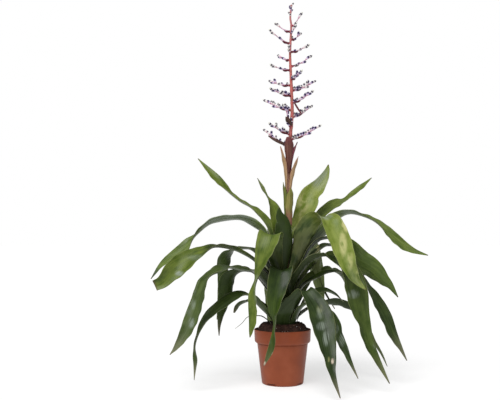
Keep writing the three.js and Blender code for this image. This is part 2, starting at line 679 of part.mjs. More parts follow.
function bractGeometry({ azimuth, root, length, width, flare, layer = 0, shape = BRACT_SHAPE }) {
  const turn = radians(azimuth);
  const outward = new THREE.Vector3(Math.cos(turn), Math.sin(turn), 0);
  const sideways = new THREE.Vector3(-Math.sin(turn), Math.cos(turn), 0);
  const stations = shape.map((share, i) => {
    const t = i / (shape.length - 1);
    const z = root + length * t;
    const away = stemRadius(root) + 1.1 + layer + flare * t * t;
    const slope = Math.atan2(2 * flare * t, length);
    const along = outward.clone().multiplyScalar(Math.sin(slope)).addScaledVector(UP, Math.cos(slope));
    return {
      centre: stemAt(z).addScaledVector(outward, away),
      across: sideways,
      inward: along.clone().cross(sideways).normalize(),
      width: width * share,
      curl: Math.max(away, width * share * 0.36),
      thickness: BRACT_THICKNESS,
    };
  });
  return blade(stations);
}

function finish(colour, roughness) {
  return new THREE.MeshStandardMaterial({ color: colour, roughness, metalness: 0 });
}

const plant = new THREE.Group();

function place(name, geometry, material) {
  const mesh = new THREE.Mesh(geometry, material);
  mesh.name = name;
  plant.add(mesh);
}

place('pot', potSolid(), finish(0xa5553c, 0.55));
place('soil', soilSolid(), finish(0x37231e, 0.95));
place('crown', crownSolid(), finish(0x6b6a3c, 0.8));
place('flower_stem', stemSolid(), finish(0xb95f5a, 0.5));
BRACTS.forEach((bract) => place(bract.name, bractGeometry(bract), finish(bract.colour, 0.6)));
SPRAYS.forEach((one, i) => {
  place(`flower_spray_${String(i + 1).padStart(2, '0')}`, sprayGeometry(one), finish(0x82203a, 0.5));
});
LEAVES.forEach((leaf, i) => {
  place(`leaf_${String(i + 1).padStart(2, '0')}`, leafGeometry(leaf), finish(0x587a2c, 0.45));
});

export default plant;
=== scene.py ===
"""A potted bromeliad: strap leaves and a branched flower stem in a terracotta nursery pot."""
import json
import math
import random

import bmesh
import bpy
import numpy as np
from mathutils import Matrix, Vector, noise

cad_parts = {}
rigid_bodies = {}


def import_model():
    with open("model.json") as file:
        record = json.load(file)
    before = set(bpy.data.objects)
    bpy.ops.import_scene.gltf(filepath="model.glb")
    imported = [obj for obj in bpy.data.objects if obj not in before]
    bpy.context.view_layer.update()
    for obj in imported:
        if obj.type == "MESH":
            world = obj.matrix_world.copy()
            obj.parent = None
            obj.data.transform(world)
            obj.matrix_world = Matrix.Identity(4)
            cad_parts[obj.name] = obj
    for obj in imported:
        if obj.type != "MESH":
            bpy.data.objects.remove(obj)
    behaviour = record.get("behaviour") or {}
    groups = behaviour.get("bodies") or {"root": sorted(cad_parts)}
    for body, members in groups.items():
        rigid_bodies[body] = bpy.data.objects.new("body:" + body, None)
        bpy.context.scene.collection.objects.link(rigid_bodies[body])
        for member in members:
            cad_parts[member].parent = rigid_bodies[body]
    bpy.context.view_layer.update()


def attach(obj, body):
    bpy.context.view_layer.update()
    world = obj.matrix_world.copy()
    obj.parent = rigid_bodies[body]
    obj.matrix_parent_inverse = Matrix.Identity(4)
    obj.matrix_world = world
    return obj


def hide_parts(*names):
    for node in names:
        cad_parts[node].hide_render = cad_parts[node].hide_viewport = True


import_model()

# Sizes below are in millimetres, as the solids' source gives them, and MM turns them into metres
MM = 0.001
BODY = "root"

# Pot
POT_HEIGHT = 114
RIM_RADIUS = 60
RIM_STEP_RADIUS = 59
RIM_BOTTOM = 91
BODY_TOP = 84.5
BODY_TOP_RADIUS = 53.6
BODY_BOTTOM = 4
BODY_BOTTOM_RADIUS = 44
FOOT_RADIUS = 40
POT_WALL = 1.4
POT_FLOOR = 2.5
NOTCH_COUNT = 4
FIRST_NOTCH = -123
NOTCH_REACH = 12
NOTCH_WIDTH = 22
NOTCH_HEIGHT = 5
NOTCH_BEVEL = 1.6
LIP_ROUND = 0.7
GROOVE = 0.5
POT_SIDES = 144
SHARP_EDGE = math.radians(38)

# Soil and the hole that the plant's foot stands in
CLEARANCE = 0.3
SOIL_EDGE = 112
SOIL_MOUND = 14
HOLE_RADIUS = 32
FOOT_Z = 99
SOIL_SIDES = 120
SOIL_STEP = 1.3
SOIL_BAND = [33, 40, 47, 52, 56]
BAND_SIDES = 60
CRUMBS_PER_SQUARE_METRE = 90000
CRUMB_RADIUS = 0.7
GRAINS_PER_SQUARE_METRE = 2600
GRAIN_RADIUS = 0.75
FIBRES_PER_SQUARE_METRE = 8000
GRAIN_TILT = 0.35
FIBRE_RADIUS = 0.16
FIBRE_STEP = 1.2
FIBRE_POINTS = 6

# Crown: its outline from the foot up, as radius and height, and the pitch of its old leaf rings
CROWN_OUTLINE = [
    (0, FOOT_Z), (5, FOOT_Z), (7, FOOT_Z + 3), (7.4, 118), (6.4, 125), (4, 128), (0, 128),
]
CROWN_STEP = 1.2
CROWN_RING_DEPTH = 0.25
CROWN_SIDES = 28

# Rosette: leaf sheaths stand on rings about the short crown and spread as they rise
FIRST_RING = 9
RING_PITCH = 2
RING_SPREAD = 2
RING_SPREAD_STEP = 1.2
SHEATH_LIP = 30
SHEATH_LIP_SHARE = 0.6
SHEATH_STEP = 42
LEAF_THICKNESS = 1
TIP_THICKNESS = 0.7
CHANNEL = 0.85
RING_HALF_ANGLE = [48, 51, 46, 41, 36, 32, 34, 34, 34, 30, 30]
LEAF_STRIPS = 14
STEPS_PER_ROW = 9
EDGE_SHARE = 0.4
RIPPLE = 0.8
SWELL = 0.3
RIPPLE_START = 60
FULL_RIPPLE_WIDTH = 26
THINNEST = 0.9

# How a leaf's colour changes: the steps of tone that its marks and the painted shade in the
# rosette's heart give, that heart's radii and heights, where the tip withers, and the most that
# its looks add
EDGE_LIGHTENS = 1.2
SHADE_DARKENS = 1.3
HEART_PAINTED_SHADE = 1.0
HEART_RADII = (35, 80)
HEART_FOOT = (150, 210)
HEART_TOP = (270, 330)
WITHERING = 0.86
YELLOWEST = 0.55
# The most waxy paleness and painted sheen that a leaf's looks add
MOST_WAX_AND_SHEEN = 0.45

# Flower stem: the route of its middle
STEM_ROUTE = [
    (0, 0, 128.5), (4, 0, 200), (10, 0, 280), (13, 0, 341), (12, 0, 370), (13, 0, 420),
    (14, 0, 452), (18, 0, 528), (20, 0, 549), (22, 0, 584), (21, 0, 612), (20, 0, 643),
    (18, 0, 691), (18, 0, 713), (19, 0, 735), (20.5, 0, 766), (18.5, 0, 785), (21, 0, 812),
]
# Its radius by height
STEM_RADII = [
    (128.5, 5), (340, 6.3), (400, 5.3), (470, 4.5), (540, 3.8), (620, 3.3), (700, 2.6), (812, 1.9),
]
STEM_SIDES = 20
STEM_STEPS = 340
JOINT_SWELL = 0.09
JOINT_REACH = 2.2

# Florets, the stalk that carries them and the bract under it; tapers and shapes are shares of the
# stalk's radius or the bract's width, from foot to tip
FLORET_LENGTH = 13.5
FLORET_LEAN = math.radians(12)
FLORET_SPACING = 9.5
FIRST_FLORET = 0.27
LAST_FLORET = 0.88
RAISED_START = 0.04
RAISED_STEP = 0.06
TOP_FLORETS = 5
TOP_FLORET_STEP = 5
TOP_FLORET_SIZE = 10 / FLORET_LENGTH
GOLDEN_TURN = math.radians(137.5)
RACHIS_RADIUS = 1.7
RACHIS_TAPER = [1.4, 1.45, 1.2, 0.85, 0.6, 0.45]
RACHIS_SIDES = 10
RACHIS_STEPS = 48
NODE_SWELL = 0.16
NODE_REACH = 1.3
RACHIS_SAG = 0.05
RACHIS_ELBOW = 3
FLOWERED_SHARE = 0.72
NAVY_SHARE = 0.72
SPRAY_BRACT_WIDTH = 7
SPRAY_BRACT_SHAPE = [0.75, 1, 0.92, 0.4]
SPRAY_BRACT_BOW = 0.63
SPRAY_BRACT_STEPS = 18
SPRAY_BRACT_FOLD = 1.55
BROAD_BRACT_FOLD = 2.0
BRACT_THICKNESS = 0.8
BRACT_STRIPS = 10
BRACT_STEPS = 44
BRACT_RIPPLE = 0.5

# A floret's outline: share of its length, radius and share of lobing, from its foot to its tip
FLORET_OUTLINE = [
    (0.0, 1.3, 0), (0.1, 1.8, 0), (0.25, 2.2, 0.1), (0.45, 2.3, 0.1), (0.53, 2.5, 0.15),
    (0.66, 2.6, 0.15), (0.8, 2.2, 0.1), (0.87, 1.4, 0.1), (0.95, 1.0, 0.4), (1.0, 0.0, 0),
]
FLORET_SIDES = 7

# Stage, in metres, but for the lens and the sensor, which are in millimetres
FLOOR_HALF = 40
FLOOR_ALBEDO = (0.40, 0.40, 0.40)
FLOOR_GLOW = 0.62
PAPER_LIGHT = 1.0
ROOM_LIGHT = 0.30
LAMP_STRENGTH = 3.0
LAMP_ANGLE = math.radians(44)
LAMP_HEADING = (0.3, 0.75, -1.0)
CAMERA_EYE = (0, -1.6, 0.3)
CAMERA_AIM = (-0.069, 0, 0.388)
CLIP_RANGE = (0.05, 100)
LENS = 53.83
SENSOR = 36
WHITE = (1, 1, 1, 1)

UP = np.array([0.0, 0.0, 1.0])


def leaf(azimuth, ring, half, rows):
    """A leaf's place: its turn about the crown, its ring, half its sheath's spread and its rows."""
    return {"azimuth": azimuth, "ring": ring, "half": half or RING_HALF_ANGLE[ring], "rows": rows}


# Rows are x, y, z, width and roll in degrees about the blade's own length, from sheath to tip
LEAVES = [
    leaf(-92, 0, None, [
        (-1, -16, 250, 26, 0), (3, -22, 296, 42, 12), (3, -26, 337, 35, 25), (-4, -28, 354, 20, 25),
        (-7, -28, 371, 2, 25),
    ]),
    leaf(60, 0, None, [
        (30, 38, 330, 28, 8), (52, 37, 374, 48, 25), (60, 43, 397, 46, 25), (74, 50, 413, 40, 25),
        (87, 56, 430, 28, 30), (99, 60, 454, 14, 30), (103, 62, 470, 2, 30),
    ]),
    leaf(165, 0, None, [
        (-11, 8, 338, 30, -60), (-18, 12, 368, 30, -40), (-33, 16, 396, 22, 10),
        (-44, 20, 415, 16, 40), (-54, 24, 437, 2, 40),
    ]),
    leaf(-45, 1, 30, [
        (25, -13, 252, 19, -48), (34, -15, 287, 34, -65), (43, -19, 313, 43, -58),
        (56, -23, 333, 44, -54), (71, -29, 345, 44, -32), (86, -38, 350, 44, 0),
        (99, -50, 342, 44, 28), (109, -58, 322, 46, 44), (118, -64, 301, 46, 48),
        (127, -72, 272, 42, 48), (137, -82, 242, 30, 48), (150, -90, 219, 16, 48),
        (166, -96, 203, 2, 48),
    ]),
    leaf(125, 1, None, [
        (-20, 34, 322, 34, 0), (-44, 54, 350, 40, 18), (-66, 66, 371, 42, 20),
        (-94, 82, 388, 38, 22), (-124, 100, 412, 32, 25), (-156, 118, 448, 22, -15),
        (-197, 138, 493, 2, -15),
    ]),
    leaf(-115, 1, 38, [
        (-20, -42, 271, 42, 0), (-23, -56, 303, 49, -6), (-24, -67, 313, 52, -6),
        (-28, -78, 299, 51, -5), (-34, -84, 279, 46, 5), (-43, -88, 246, 36, 30),
        (-52, -90, 216, 30, 55), (-58, -92, 190, 26, 25), (-58, -95, 146, 20, 5),
        (-62, -96, 121, 11, 5), (-65, -97, 108, 2, 5),
    ]),
    leaf(44, 2, 26, [
        (22, 38, 262, 26, 0), (42, 54, 302, 32, 0), (70, 58, 332, 40, 0), (91, 64, 358, 44, 0),
        (114, 84, 377, 42, 12), (134, 98, 389, 38, 8), (150, 110, 396, 32, -10),
        (181, 128, 422, 20, 10), (208, 144, 447, 2, 10),
    ]),
    leaf(180, 2, 29, [
        (-30, 0, 290, 34, 0), (-44, 0, 320, 38, 20), (-69, 2, 338, 42, 24), (-93, 4, 346, 44, 10),
        (-134, 8, 343, 42, 15), (-160, 10, 334, 40, 6), (-186, 12, 311, 38, -5),
        (-212, 14, 284, 32, -55), (-256, 16, 253, 18, -50), (-285, 18, 218, 2, -55),
    ]),
    leaf(5, 3, 24, [
        (38, 3, 262, 26, 0), (66, 20, 298, 34, -48), (105, 48, 336, 42, -50),
        (130, 60, 354, 42, -24), (155, 68, 360, 40, -5), (187, 76, 352, 38, 12),
        (214, 84, 338, 36, 22), (240, 90, 315, 32, 50), (271, 96, 290, 24, 70),
        (298, 100, 277, 12, 80), (328, 104, 268, 2, 80),
    ]),
    leaf(-155, 3, 36, [
        (-56, -20, 254, 42, -10), (-83, -26, 272, 46, -5), (-109, -35, 283, 50, 0),
        (-142, -46, 286, 50, 0), (-167, -56, 274, 52, -15), (-201, -66, 255, 50, -45),
        (-226, -74, 237, 40, -75), (-245, -80, 216.5, 27, -80), (-259.5, -82, 209.5, 24, -80),
    ]),
    leaf(104, 3, 27, [
        (-4, 40, 290, 36, 0), (-10, 76, 318, 44, 0), (-14, 124, 318, 44, 0), (-16, 162, 292, 34, 0),
        (-18, 184, 258, 16, 0), (-19, 192, 236, 2, 0),
    ]),
    leaf(-12, 4, None, [
        (42, -11, 250, 30, 5), (64, -13, 290, 36, 5), (90, -7, 304, 40, 0), (118, -5, 302, 40, -12),
        (139, -17, 286, 50, -40), (156, -20, 261, 54, -75), (187, -24, 241, 46, -75),
        (208, -28, 221, 30, -75), (223, -30, 207, 16, -75), (239, -32, 184, 2, -75),
    ]),
    leaf(145, 4, 26, [
        (-61, 26, 277, 34, 5), (-86, 38, 282, 38, 0), (-106, 46, 279, 40, -12),
        (-120, 52, 268, 36, 10), (-128, 56, 254, 34, 30), (-133, 60, 235, 26, 50),
        (-135, 62, 212, 18, 50), (-139.5, 65, 169, 10, 40), (-145, 64, 126.5, 2, 40),
    ]),
    leaf(-120, 4, None, [
        (-53, -34, 233, 38, -10), (-82, -50, 239, 44, -5), (-112, -62, 244, 46, 0),
        (-132, -76, 236, 46, 5), (-154, -90, 221, 44, 25), (-167, -98, 181, 38, 8),
        (-180, -106, 145, 34, -10), (-192, -112, 118, 26, -20), (-209, -118, 91, 12, -20),
        (-222, -120, 76, 2, 10),
    ]),
    leaf(70, 4, None, [
        (30, 52, 256, 38, 0), (46, 92, 288, 46, 0), (60, 138, 290, 46, 0), (72, 180, 262, 42, 0),
        (84, 212, 214, 34, 0), (92, 228, 168, 20, 0), (98, 238, 122, 2, 0),
    ]),
    leaf(25, 5, None, [
        (58, 24, 254, 36, -5), (76, 30, 276, 40, -5), (98, 32, 289, 42, 0), (131, 30, 281, 42, 10),
        (158, 26, 250, 42, 20), (178, 20, 207, 40, 35), (199, 12, 172, 36, 65),
        (217, 4, 139, 32, 80), (231, -2, 103, 24, 85), (245, -8, 78, 12, 85), (259, -12, 51, 2, 85),
    ]),
    leaf(168, 5, None, [
        (-56, 14, 225, 34, 0), (-76, 18, 234, 36, 0), (-97, 20, 231, 36, 15),
        (-117, 20, 215, 38, 50), (-123, 20, 183, 32, 55), (-129, 18, 153, 22, 50),
        (-135, 16, 122, 10, 40), (-136, 14, 97, 2, 40),
    ]),
    leaf(-55, 5, None, [
        (39, -35, 238, 31, 18), (58, -44, 258, 42, 15), (82, -48, 268, 46, 5),
        (101, -50, 265, 48, -5), (134, -54, 240, 50, 0), (148, -60, 199, 52, 15),
        (154, -66, 162, 46, 10), (162, -72, 134, 36, 0), (169, -80, 102, 28, 5),
        (182, -88, 74, 18, 15), (211, -96, 19, 2, 20),
    ]),
    leaf(100, 5, None, [
        (-8, 60, 215, 38, 0), (-16, 105, 238, 46, 0), (-22, 150, 230, 44, 0),
        (-26, 190, 190, 36, 0), (-28, 215, 142, 24, 0), (-30, 228, 96, 12, 0), (-32, 235, 62, 2, 0),
    ]),
    leaf(-76, 6, 28, [
        (2, -44, 212, 38, 5), (0, -62, 237, 48, 0), (-3, -75, 240, 50, 0), (-8, -86, 222, 46, 5),
        (-14, -93, 188, 36, 25), (-16, -97, 159, 24, 50), (-14, -98, 143, 16, 80),
        (-16, -100, 119, 14, 80), (-20, -102, 95, 14, 35), (-26, -104, 79, 12, 15),
        (-37, -106, 54, 2, 15),
    ]),
    leaf(-140, 6, 34, [
        (-46, -30, 161, 38, -10), (-66, -36, 184, 40, -10), (-86, -42, 187, 42, -5),
        (-111, -51, 175, 42, -10), (-146, -64, 148, 38, 0), (-164, -78, 122, 32, 20),
        (-175, -88, 91, 26, 35), (-173, -94, 62, 16, 0), (-176, -98, 23, 2, 10),
    ]),
    leaf(130, 6, 36, [
        (-54, 30, 165, 28, 5), (-75, 36, 168, 28, 0), (-95, 42, 159, 22, -10),
        (-105, 46, 143, 8, -15),
    ]),
    leaf(5, 7, 34, [
        (44, 2, 203, 30, 0), (72, 4, 221, 32, 10), (95, 6, 232, 26, 15), (118, 8, 234, 14, 5),
        (137, 10, 228, 2, 0),
    ]),
    leaf(178, 7, 12, [
        (-40, 0, 138, 9, 0), (-54, 2, 141, 8, 0), (-74, 4, 138, 6, 0), (-86, 6, 125, 5, 0),
        (-101, 8, 113, 2.5, 0),
    ]),
    leaf(70, 8, 36, [
        (32, 62, 180, 38, 0), (58, 92, 211, 42, -15), (92, 104, 230, 40, -15),
        (124, 102, 228, 38, 48), (151, 98, 196, 34, 40), (177, 88, 130, 24, 50),
        (200, 80, 79, 19, 50), (217, 75, 51, 12, 50), (229.6, 70, 25, 2, 50),
    ]),
    leaf(-5, 8, 28, [
        (50, -8, 177, 28, 10), (68, -10, 191, 28, 20), (90, -12, 195, 24, 20),
        (111, -12, 187, 16, 12), (129, -12, 172, 2, 0),
    ]),
    leaf(60, 7, 12, [
        (25, 37, 190, 14, 0), (43, 50, 224, 17, 0), (64, 56, 245, 20, -10), (76, 58, 255, 22, -40),
        (77, 60, 241, 24, -60), (81, 61, 225, 14, -60), (85, 62, 210, 5, -60),
        (93, 62, 190, 5, -50), (102, 62, 173, 4, -40), (115, 62, 151, 2, -40),
    ]),
    leaf(-34, 9, 22, [
        (42, -34, 163, 34, 10), (64, -50, 172, 40, 0), (81, -63, 166, 42, -15),
        (100, -78, 139, 40, 0), (106, -92, 115, 34, 5), (119, -106, 90, 22, 15),
        (131, -118, 64, 12, 15), (146, -128, 34, 2, 15),
    ]),
    leaf(30, 9, 20, [
        (54, 20, 153, 26, -10), (77, 28, 161, 24, -18), (103, 36, 166, 26, -40),
        (125, 44, 164, 25, -38), (150, 52, 154, 18, -40), (168, 56, 140, 2, -40),
    ]),
    leaf(-92, 10, 32, [
        (4, -46, 152, 36, 8), (26, -57, 179, 38, 30), (46, -76, 199, 28, 5),
        (63, -91, 179, 42, -12), (73, -106, 156, 52, -15), (79, -120, 134, 50, -10),
        (84, -136, 105, 40, -15), (89, -152, 77, 28, -20), (93, -166, 50, 16, -25),
        (107, -186, 8, 2, -25),
    ]),
    leaf(-3, 10, 8, [
        (36, -2, 142, 8, 0), (49, -4, 157, 2, 0),
    ]),
]


# Each leaf's tone from dark (-1) to light (1), yellowness, waxy paleness and painted sheen, and
# age, from 0 to 1
LEAF_LOOKS = [
    (-0.8, 0.0, 0.0, 0.0), (0.65, 0.35, 0.15, 0.0), (0.25, 0.15, 0.1, 0.1), (0.45, 0.25, 0.1, 0.05),
    (0.2, 0.1, 0.1, 0.0), (0.05, 0.12, 0.05, 0.0), (0.2, 0.1, 0.1, 0.0), (0.2, 0.0, 0.45, 0.0),
    (0.15, 0.05, 0.3, 0.0), (0.02, 0.12, 0.0, 0.0), (-0.05, 0.1, 0.15, 0.0), (-0.05, 0.0, 0.1, 0.0),
    (-0.35, 0.0, 0.15, 0.1), (-0.35, 0.05, 0.2, 0.2), (0.0, 0.1, 0.15, 0.0), (-0.6, 0.0, 0.1, 0.2),
    (-0.75, 0.0, 0.0, 0.3), (-0.4, 0.05, 0.05, 0.2), (0.0, 0.1, 0.15, 0.1), (-0.45, 0.0, 0.0, 0.1),
    (-0.45, 0.0, 0.05, 0.3), (-0.5, 0.0, 0.0, 0.2), (-0.5, 0.0, 0.0, 0.2), (-0.6, 0.0, 0.2, 0.5),
    (-0.2, 0.1, 0.05, 0.1), (-0.5, 0.0, 0.1, 0.25), (-0.25, 0.25, 0.1, 0.4), (-0.6, 0.0, 0.2, 0.3),
    (-1.0, 0.0, 0.0, 0.3), (-0.75, 0.0, 0.1, 0.3), (-0.7, 0.0, 0.0, 0.4),
]

# Marks on single leaves: the kind, its centre's x and z, its reach along x and z, and its
# strength. A shade darkens the leaf's tone and an edge lightens it. The waxy marks are grey
# bloom with a painted sheen on it.
LEAF_MARKS = {
    2: [
        ("yellow", 46, 384, 14, 26, 0.9), ("yellow", 40, 345, 4, 34, 0.7),
        ("wax", 82, 445, 26, 36, 0.8),
    ],
    4: [
        ("yellow", 128, 330, 8, 20, 1.0), ("yellow", 124, 296, 9, 32, 0.9),
        ("yellow", 137, 262, 7, 24, 0.7), ("yellow", 150, 232, 4, 12, 0.5),
        ("shade", 150, 236, 24, 34, 0.3), ("shade", 36, 300, 42, 62, 0.85),
        ("wax", 90, 352, 18, 10, 0.7),
    ],
    6: [("wax", -73, 262, 7, 42, 0.5), ("wax", -52, 205, 6, 32, 0.5)],
    8: [("shade", -284, 222, 26, 26, 0.6), ("wax", -122, 345, 80, 34, 1.0)],
    9: [("shade", 60, 300, 34, 44, 0.8), ("wax", 150, 366, 26, 14, 0.8)],
    10: [
        ("wax", -210, 234, 10, 6, 0.9), ("wax", -172, 266, 26, 7, 0.5),
        ("shade", -128, 288, 40, 24, 0.6),
    ],
    12: [("shade", 64, 290, 50, 40, 0.8)],
    14: [("wax", -181, 138, 7, 12, 0.9), ("wax", -178, 172, 5, 12, 0.5)],
    16: [("yellow", 74, 283, 9, 12, 0.9)],
    18: [
        ("shade", 64, 255, 44, 36, 0.5), ("wax", 144, 192, 14, 9, 0.8),
        ("wax", 120, 254, 14, 16, 0.5),
    ],
    20: [
        ("dry", -36, 57, 3, 7, 1.0), ("dry", -19, 77, 2.5, 3, 1.0), ("shade", 0, 230, 40, 40, 0.3),
        ("edge", 24, 205, 7, 40, 0.9),
    ],
    26: [("wax", 100, 190, 16, 6, 0.6)],
    28: [("wax", 118, 104, 7, 14, 0.7), ("wax", 108, 124, 6, 10, 0.7)],
    30: [
        ("wax", 76, 134, 11, 9, 0.8), ("wax", 84, 112, 7, 16, 0.9), ("wax", 74, 158, 8, 14, 0.5),
        ("dry", 95, 71, 3, 5, 1.0), ("yellow", 74, 166, 7, 10, 0.2), ("yellow", 88, 74, 2, 5, 0.5),
    ],
}

# Sprays by the height of their root on the stem and the place of their tip, with the bract's length
SPRAYS = [
    {"root": 766, "tip": (38, -12, 782), "bract": 0},
    {"root": 754, "tip": (-8, 12, 770), "bract": 8},
    {"root": 737, "tip": (38, 24, 752), "bract": 8, "crowd": 1},
    {"root": 727, "tip": (-20, -14, 748), "bract": 14},
    {"root": 708, "tip": (50, -18, 715), "bract": 14},
    {"root": 692, "tip": (-4, 30, 706), "bract": 10},
    {"root": 678, "tip": (58, 20, 700), "bract": 16},
    {"root": 668, "tip": (-17, -22, 673), "bract": 14},
    {"root": 648, "tip": (38, -36, 655), "bract": 12, "crowd": 3},
    {"root": 636, "tip": (-21, 22, 648), "bract": 16, "crowd": 1},
    {"root": 625, "tip": (67, 23, 646), "bract": 18, "crowd": 2},
    {"root": 612, "tip": (-18, -29, 620), "bract": 18, "crowd": 3},
    {"root": 598, "tip": (59, -26, 613), "bract": 16, "fallen": (44, -10, 572), "crowd": 3},
    {"root": 582, "tip": (-32, 16, 603), "bract": 22, "crowd": 3},
    {"root": 547, "tip": (8, -20, 584), "bract": 23, "wide": 11, "crowd": 3},
    {"root": 568, "tip": (61, 34, 593), "bract": 24, "crowd": 2},
    {"root": 530, "tip": (-20, -24, 545), "bract": 20, "crowd": 3},
    {"root": 519, "tip": (74, -16, 541), "bract": 24, "crowd": 3},
    {"root": 504, "tip": (-34, 20, 538), "bract": 50, "wide": 9, "crowd": 1},
]
SESSILE = [{"root": 750, "tip": (26, -14, 756)}, {"root": 709, "tip": (16, -14, 713)}]

# Bracts that clasp the stem below the flowers, with the width along them as a share of the widest
BRACT_SHAPE = [0.45, 0.6, 0.85, 1, 0.72, 0.08]
FRONT_BRACT_SHAPE = [0.34, 0.5, 0.72, 0.92, 1, 0.42]
BRACTS = [
    {"name": "bract_green", "azimuth": -152, "root": 336, "length": 90, "width": 19, "flare": 5},
    {"name": "bract_olive", "azimuth": -64, "root": 334, "length": 78, "width": 24, "flare": 5,
     "layer": 1.7},
    {"name": "bract_tan_right", "azimuth": -38, "root": 396, "length": 84, "width": 14,
     "flare": 18},
    {"name": "bract_tan_left", "azimuth": -146, "root": 408, "length": 94, "width": 15,
     "flare": 18},
    {"name": "bract_front", "azimuth": -100, "root": 446, "length": 75, "width": 21, "flare": 13,
     "layer": 1.7, "shape": FRONT_BRACT_SHAPE},
    {"name": "bract_behind", "azimuth": -22, "root": 450, "length": 62, "width": 17, "flare": 11},
]


# Shapes: the routes, sections and turned outlines that the pieces share


def through(points, share):
    """A point on the smooth curve through the points, at a share of its steps."""
    last = len(points) - 1
    place = min(max(share, 0.0), 1.0) * last
    i = min(int(place), last - 1)
    t = place - i
    b, c = points[i], points[i + 1]
    a = points[i - 1] if i > 0 else 2 * b - c
    d = points[i + 2] if i + 2 <= last else 2 * c - b
    return b + 0.5 * t * (c - a + t * (2 * a - 5 * b + 4 * c - d + t * (3 * (b - c) + d - a)))


def unit(vector):
    return vector / np.linalg.norm(vector)


def tangent(points, share):
    """The direction of the smooth curve through the points."""
    near = 1e-4
    return unit(through(points, share + near) - through(points, share - near))


def turned_about(vector, axis, angle):
    """A vector turned about an axis."""
    return np.array(Matrix.Rotation(angle, 3, Vector(axis)) @ Vector(vector))


def smoothstep(value, low, high):
    t = np.clip((value - low) / (high - low), 0.0, 1.0)
    return t * t * (3 - 2 * t)


def mark(mesh, name, values, kind="FLOAT"):
    """Stores one value or vector for each corner of the mesh."""
    layer = mesh.attributes.new(name, kind, "POINT")
    field = "value" if kind == "FLOAT" else "vector"
    layer.data.foreach_set(field, np.ravel(values).astype(np.float32))


def add_object(mesh):
    piece = bpy.data.objects.new(mesh.name, mesh)
    bpy.context.scene.collection.objects.link(piece)
    return piece


def blade(name, stations, strips, lift=None):
    """A thin curved blade. Each station is a centre, its across and inward directions, width, curl
    radius and thickness, in metres; lift moves the middle of the blade inward, for its ripples."""
    centre, across, inward = (np.array([station[k] for station in stations]) for k in range(3))
    width, curl, thick = (np.array([station[k] for station in stations]) for k in range(3, 6))
    u = np.linspace(0.0, 1.0, strips + 1)
    turn = (u - 0.5)[None, :] * (width / curl)[:, None]
    sine, cosine = np.sin(turn)[..., None], np.cos(turn)[..., None]
    bend = curl[:, None, None]
    face = inward[:, None] * cosine - across[:, None] * sine
    middle = centre[:, None] + across[:, None] * sine * bend + inward[:, None] * (1 - cosine) * bend
    if lift is not None:
        middle = middle + face * lift[..., None]
    edge = EDGE_SHARE + (1 - EDGE_SHARE) * (1 - (2 * u - 1) ** 4)
    half = thick[:, None, None] / 2 * edge[None, :, None]
    rings = np.concatenate([middle - face * half, (middle + face * half)[:, ::-1]], axis=1)

    around = rings.shape[1]
    faces = []
    for i in range(len(stations) - 1):
        for j in range(around):
            a, b = i * around + j, i * around + (j + 1) % around
            faces.append((a, b, b + around, a + around))
    last = (len(stations) - 1) * around
    for j in range(strips):
        k = around - 1 - j
        faces.append((j, k, k - 1, j + 1))
        faces.append((last + j, last + j + 1, last + k - 1, last + k))
    mesh = bpy.data.meshes.new(name)
    mesh.from_pydata(rings.reshape(-1, 3).tolist(), [], faces)

    run = np.concatenate([[0.0], np.cumsum(np.linalg.norm(np.diff(centre, axis=0), axis=1))])
    both = np.concatenate([u, u[::-1]])
    side = np.repeat([0.0, 1.0], strips + 1)
    table = np.empty((len(stations), around, 3))
    table[..., 0] = (both - 0.5)[None, :] * width[:, None]
    table[..., 1] = run[:, None]
    table[..., 2] = side[None, :]
    mark(mesh, "run", table, "FLOAT_VECTOR")
    place = np.empty((len(stations), around, 2))
    place[..., 0] = both[None, :]
    place[..., 1] = (run / run[-1])[:, None]
    lay_uv(mesh, place.reshape(-1, 2))
    mesh.shade_smooth()
    return mesh


def mesh_of(name, made):
    """A shape built in Blender's mesh editor, as a plain mesh."""
    mesh = bpy.data.meshes.new(name)
    made.to_mesh(mesh)
    made.free()
    return mesh


def finished_mesh(piece):
    """What an object's modifiers make of it, as a plain mesh."""
    depsgraph = bpy.context.evaluated_depsgraph_get()
    made = bpy.data.meshes.new_from_object(piece.evaluated_get(depsgraph), depsgraph=depsgraph)
    piece.modifiers.clear()
    return made


def lay_uv(mesh, place):
    """Lays each corner's place across and along the piece out as its UV map."""
    corner = np.empty(len(mesh.loops), np.int32)
    mesh.loops.foreach_get("vertex_index", corner)
    layer = mesh.uv_layers.new(name="UVMap")
    layer.data.foreach_set("uv", place[corner].ravel().astype(np.float32))


def turned(name, outline, sides, lobe=None):
    """A closed outline of radius and height turned about Z; its ends lie on the axis."""
    made = bmesh.new()
    rings = []
    for k, (radius, height) in enumerate(outline):
        if radius < 1e-9:
            rings.append([made.verts.new((0, 0, height))])
            continue
        ring = []
        for j in range(sides):
            turn = 2 * math.pi * j / sides
            wide = radius * (1 + (lobe[k] * math.cos(3 * turn) if lobe else 0))
            ring.append(made.verts.new((wide * math.cos(turn), wide * math.sin(turn), height)))
        rings.append(ring)
    for low, high in zip(rings, rings[1:]):
        for j in range(sides):
            near, far = j, j + 1
            corners = [low[near % len(low)], low[far % len(low)],
                       high[far % len(high)], high[near % len(high)]]
            made.faces.new(list(dict.fromkeys(corners)))
    mesh = mesh_of(name, made)
    mesh.shade_smooth()
    return mesh


def arc(centre, radius, first, last, steps):
    """Points of an arc in the radius and height plane, by its first and last angle in degrees."""
    angles = [math.radians(first + (last - first) * i / steps) for i in range(steps + 1)]
    return [(centre[0] + radius * math.cos(a), centre[1] + radius * math.sin(a)) for a in angles]


# Geometry trees: what repeats or follows a path


def put(tree, kind, feeds=None, **settings):
    """Adds a node with its settings, and feeds its sockets from values or other sockets."""
    node = tree.nodes.new(kind)
    for key, value in settings.items():
        setattr(node, key, value)
    for key, value in (feeds or {}).items():
        if isinstance(value, bpy.types.NodeSocket):
            tree.links.new(value, node.inputs[key])
        else:
            node.inputs[key].default_value = value
    return node


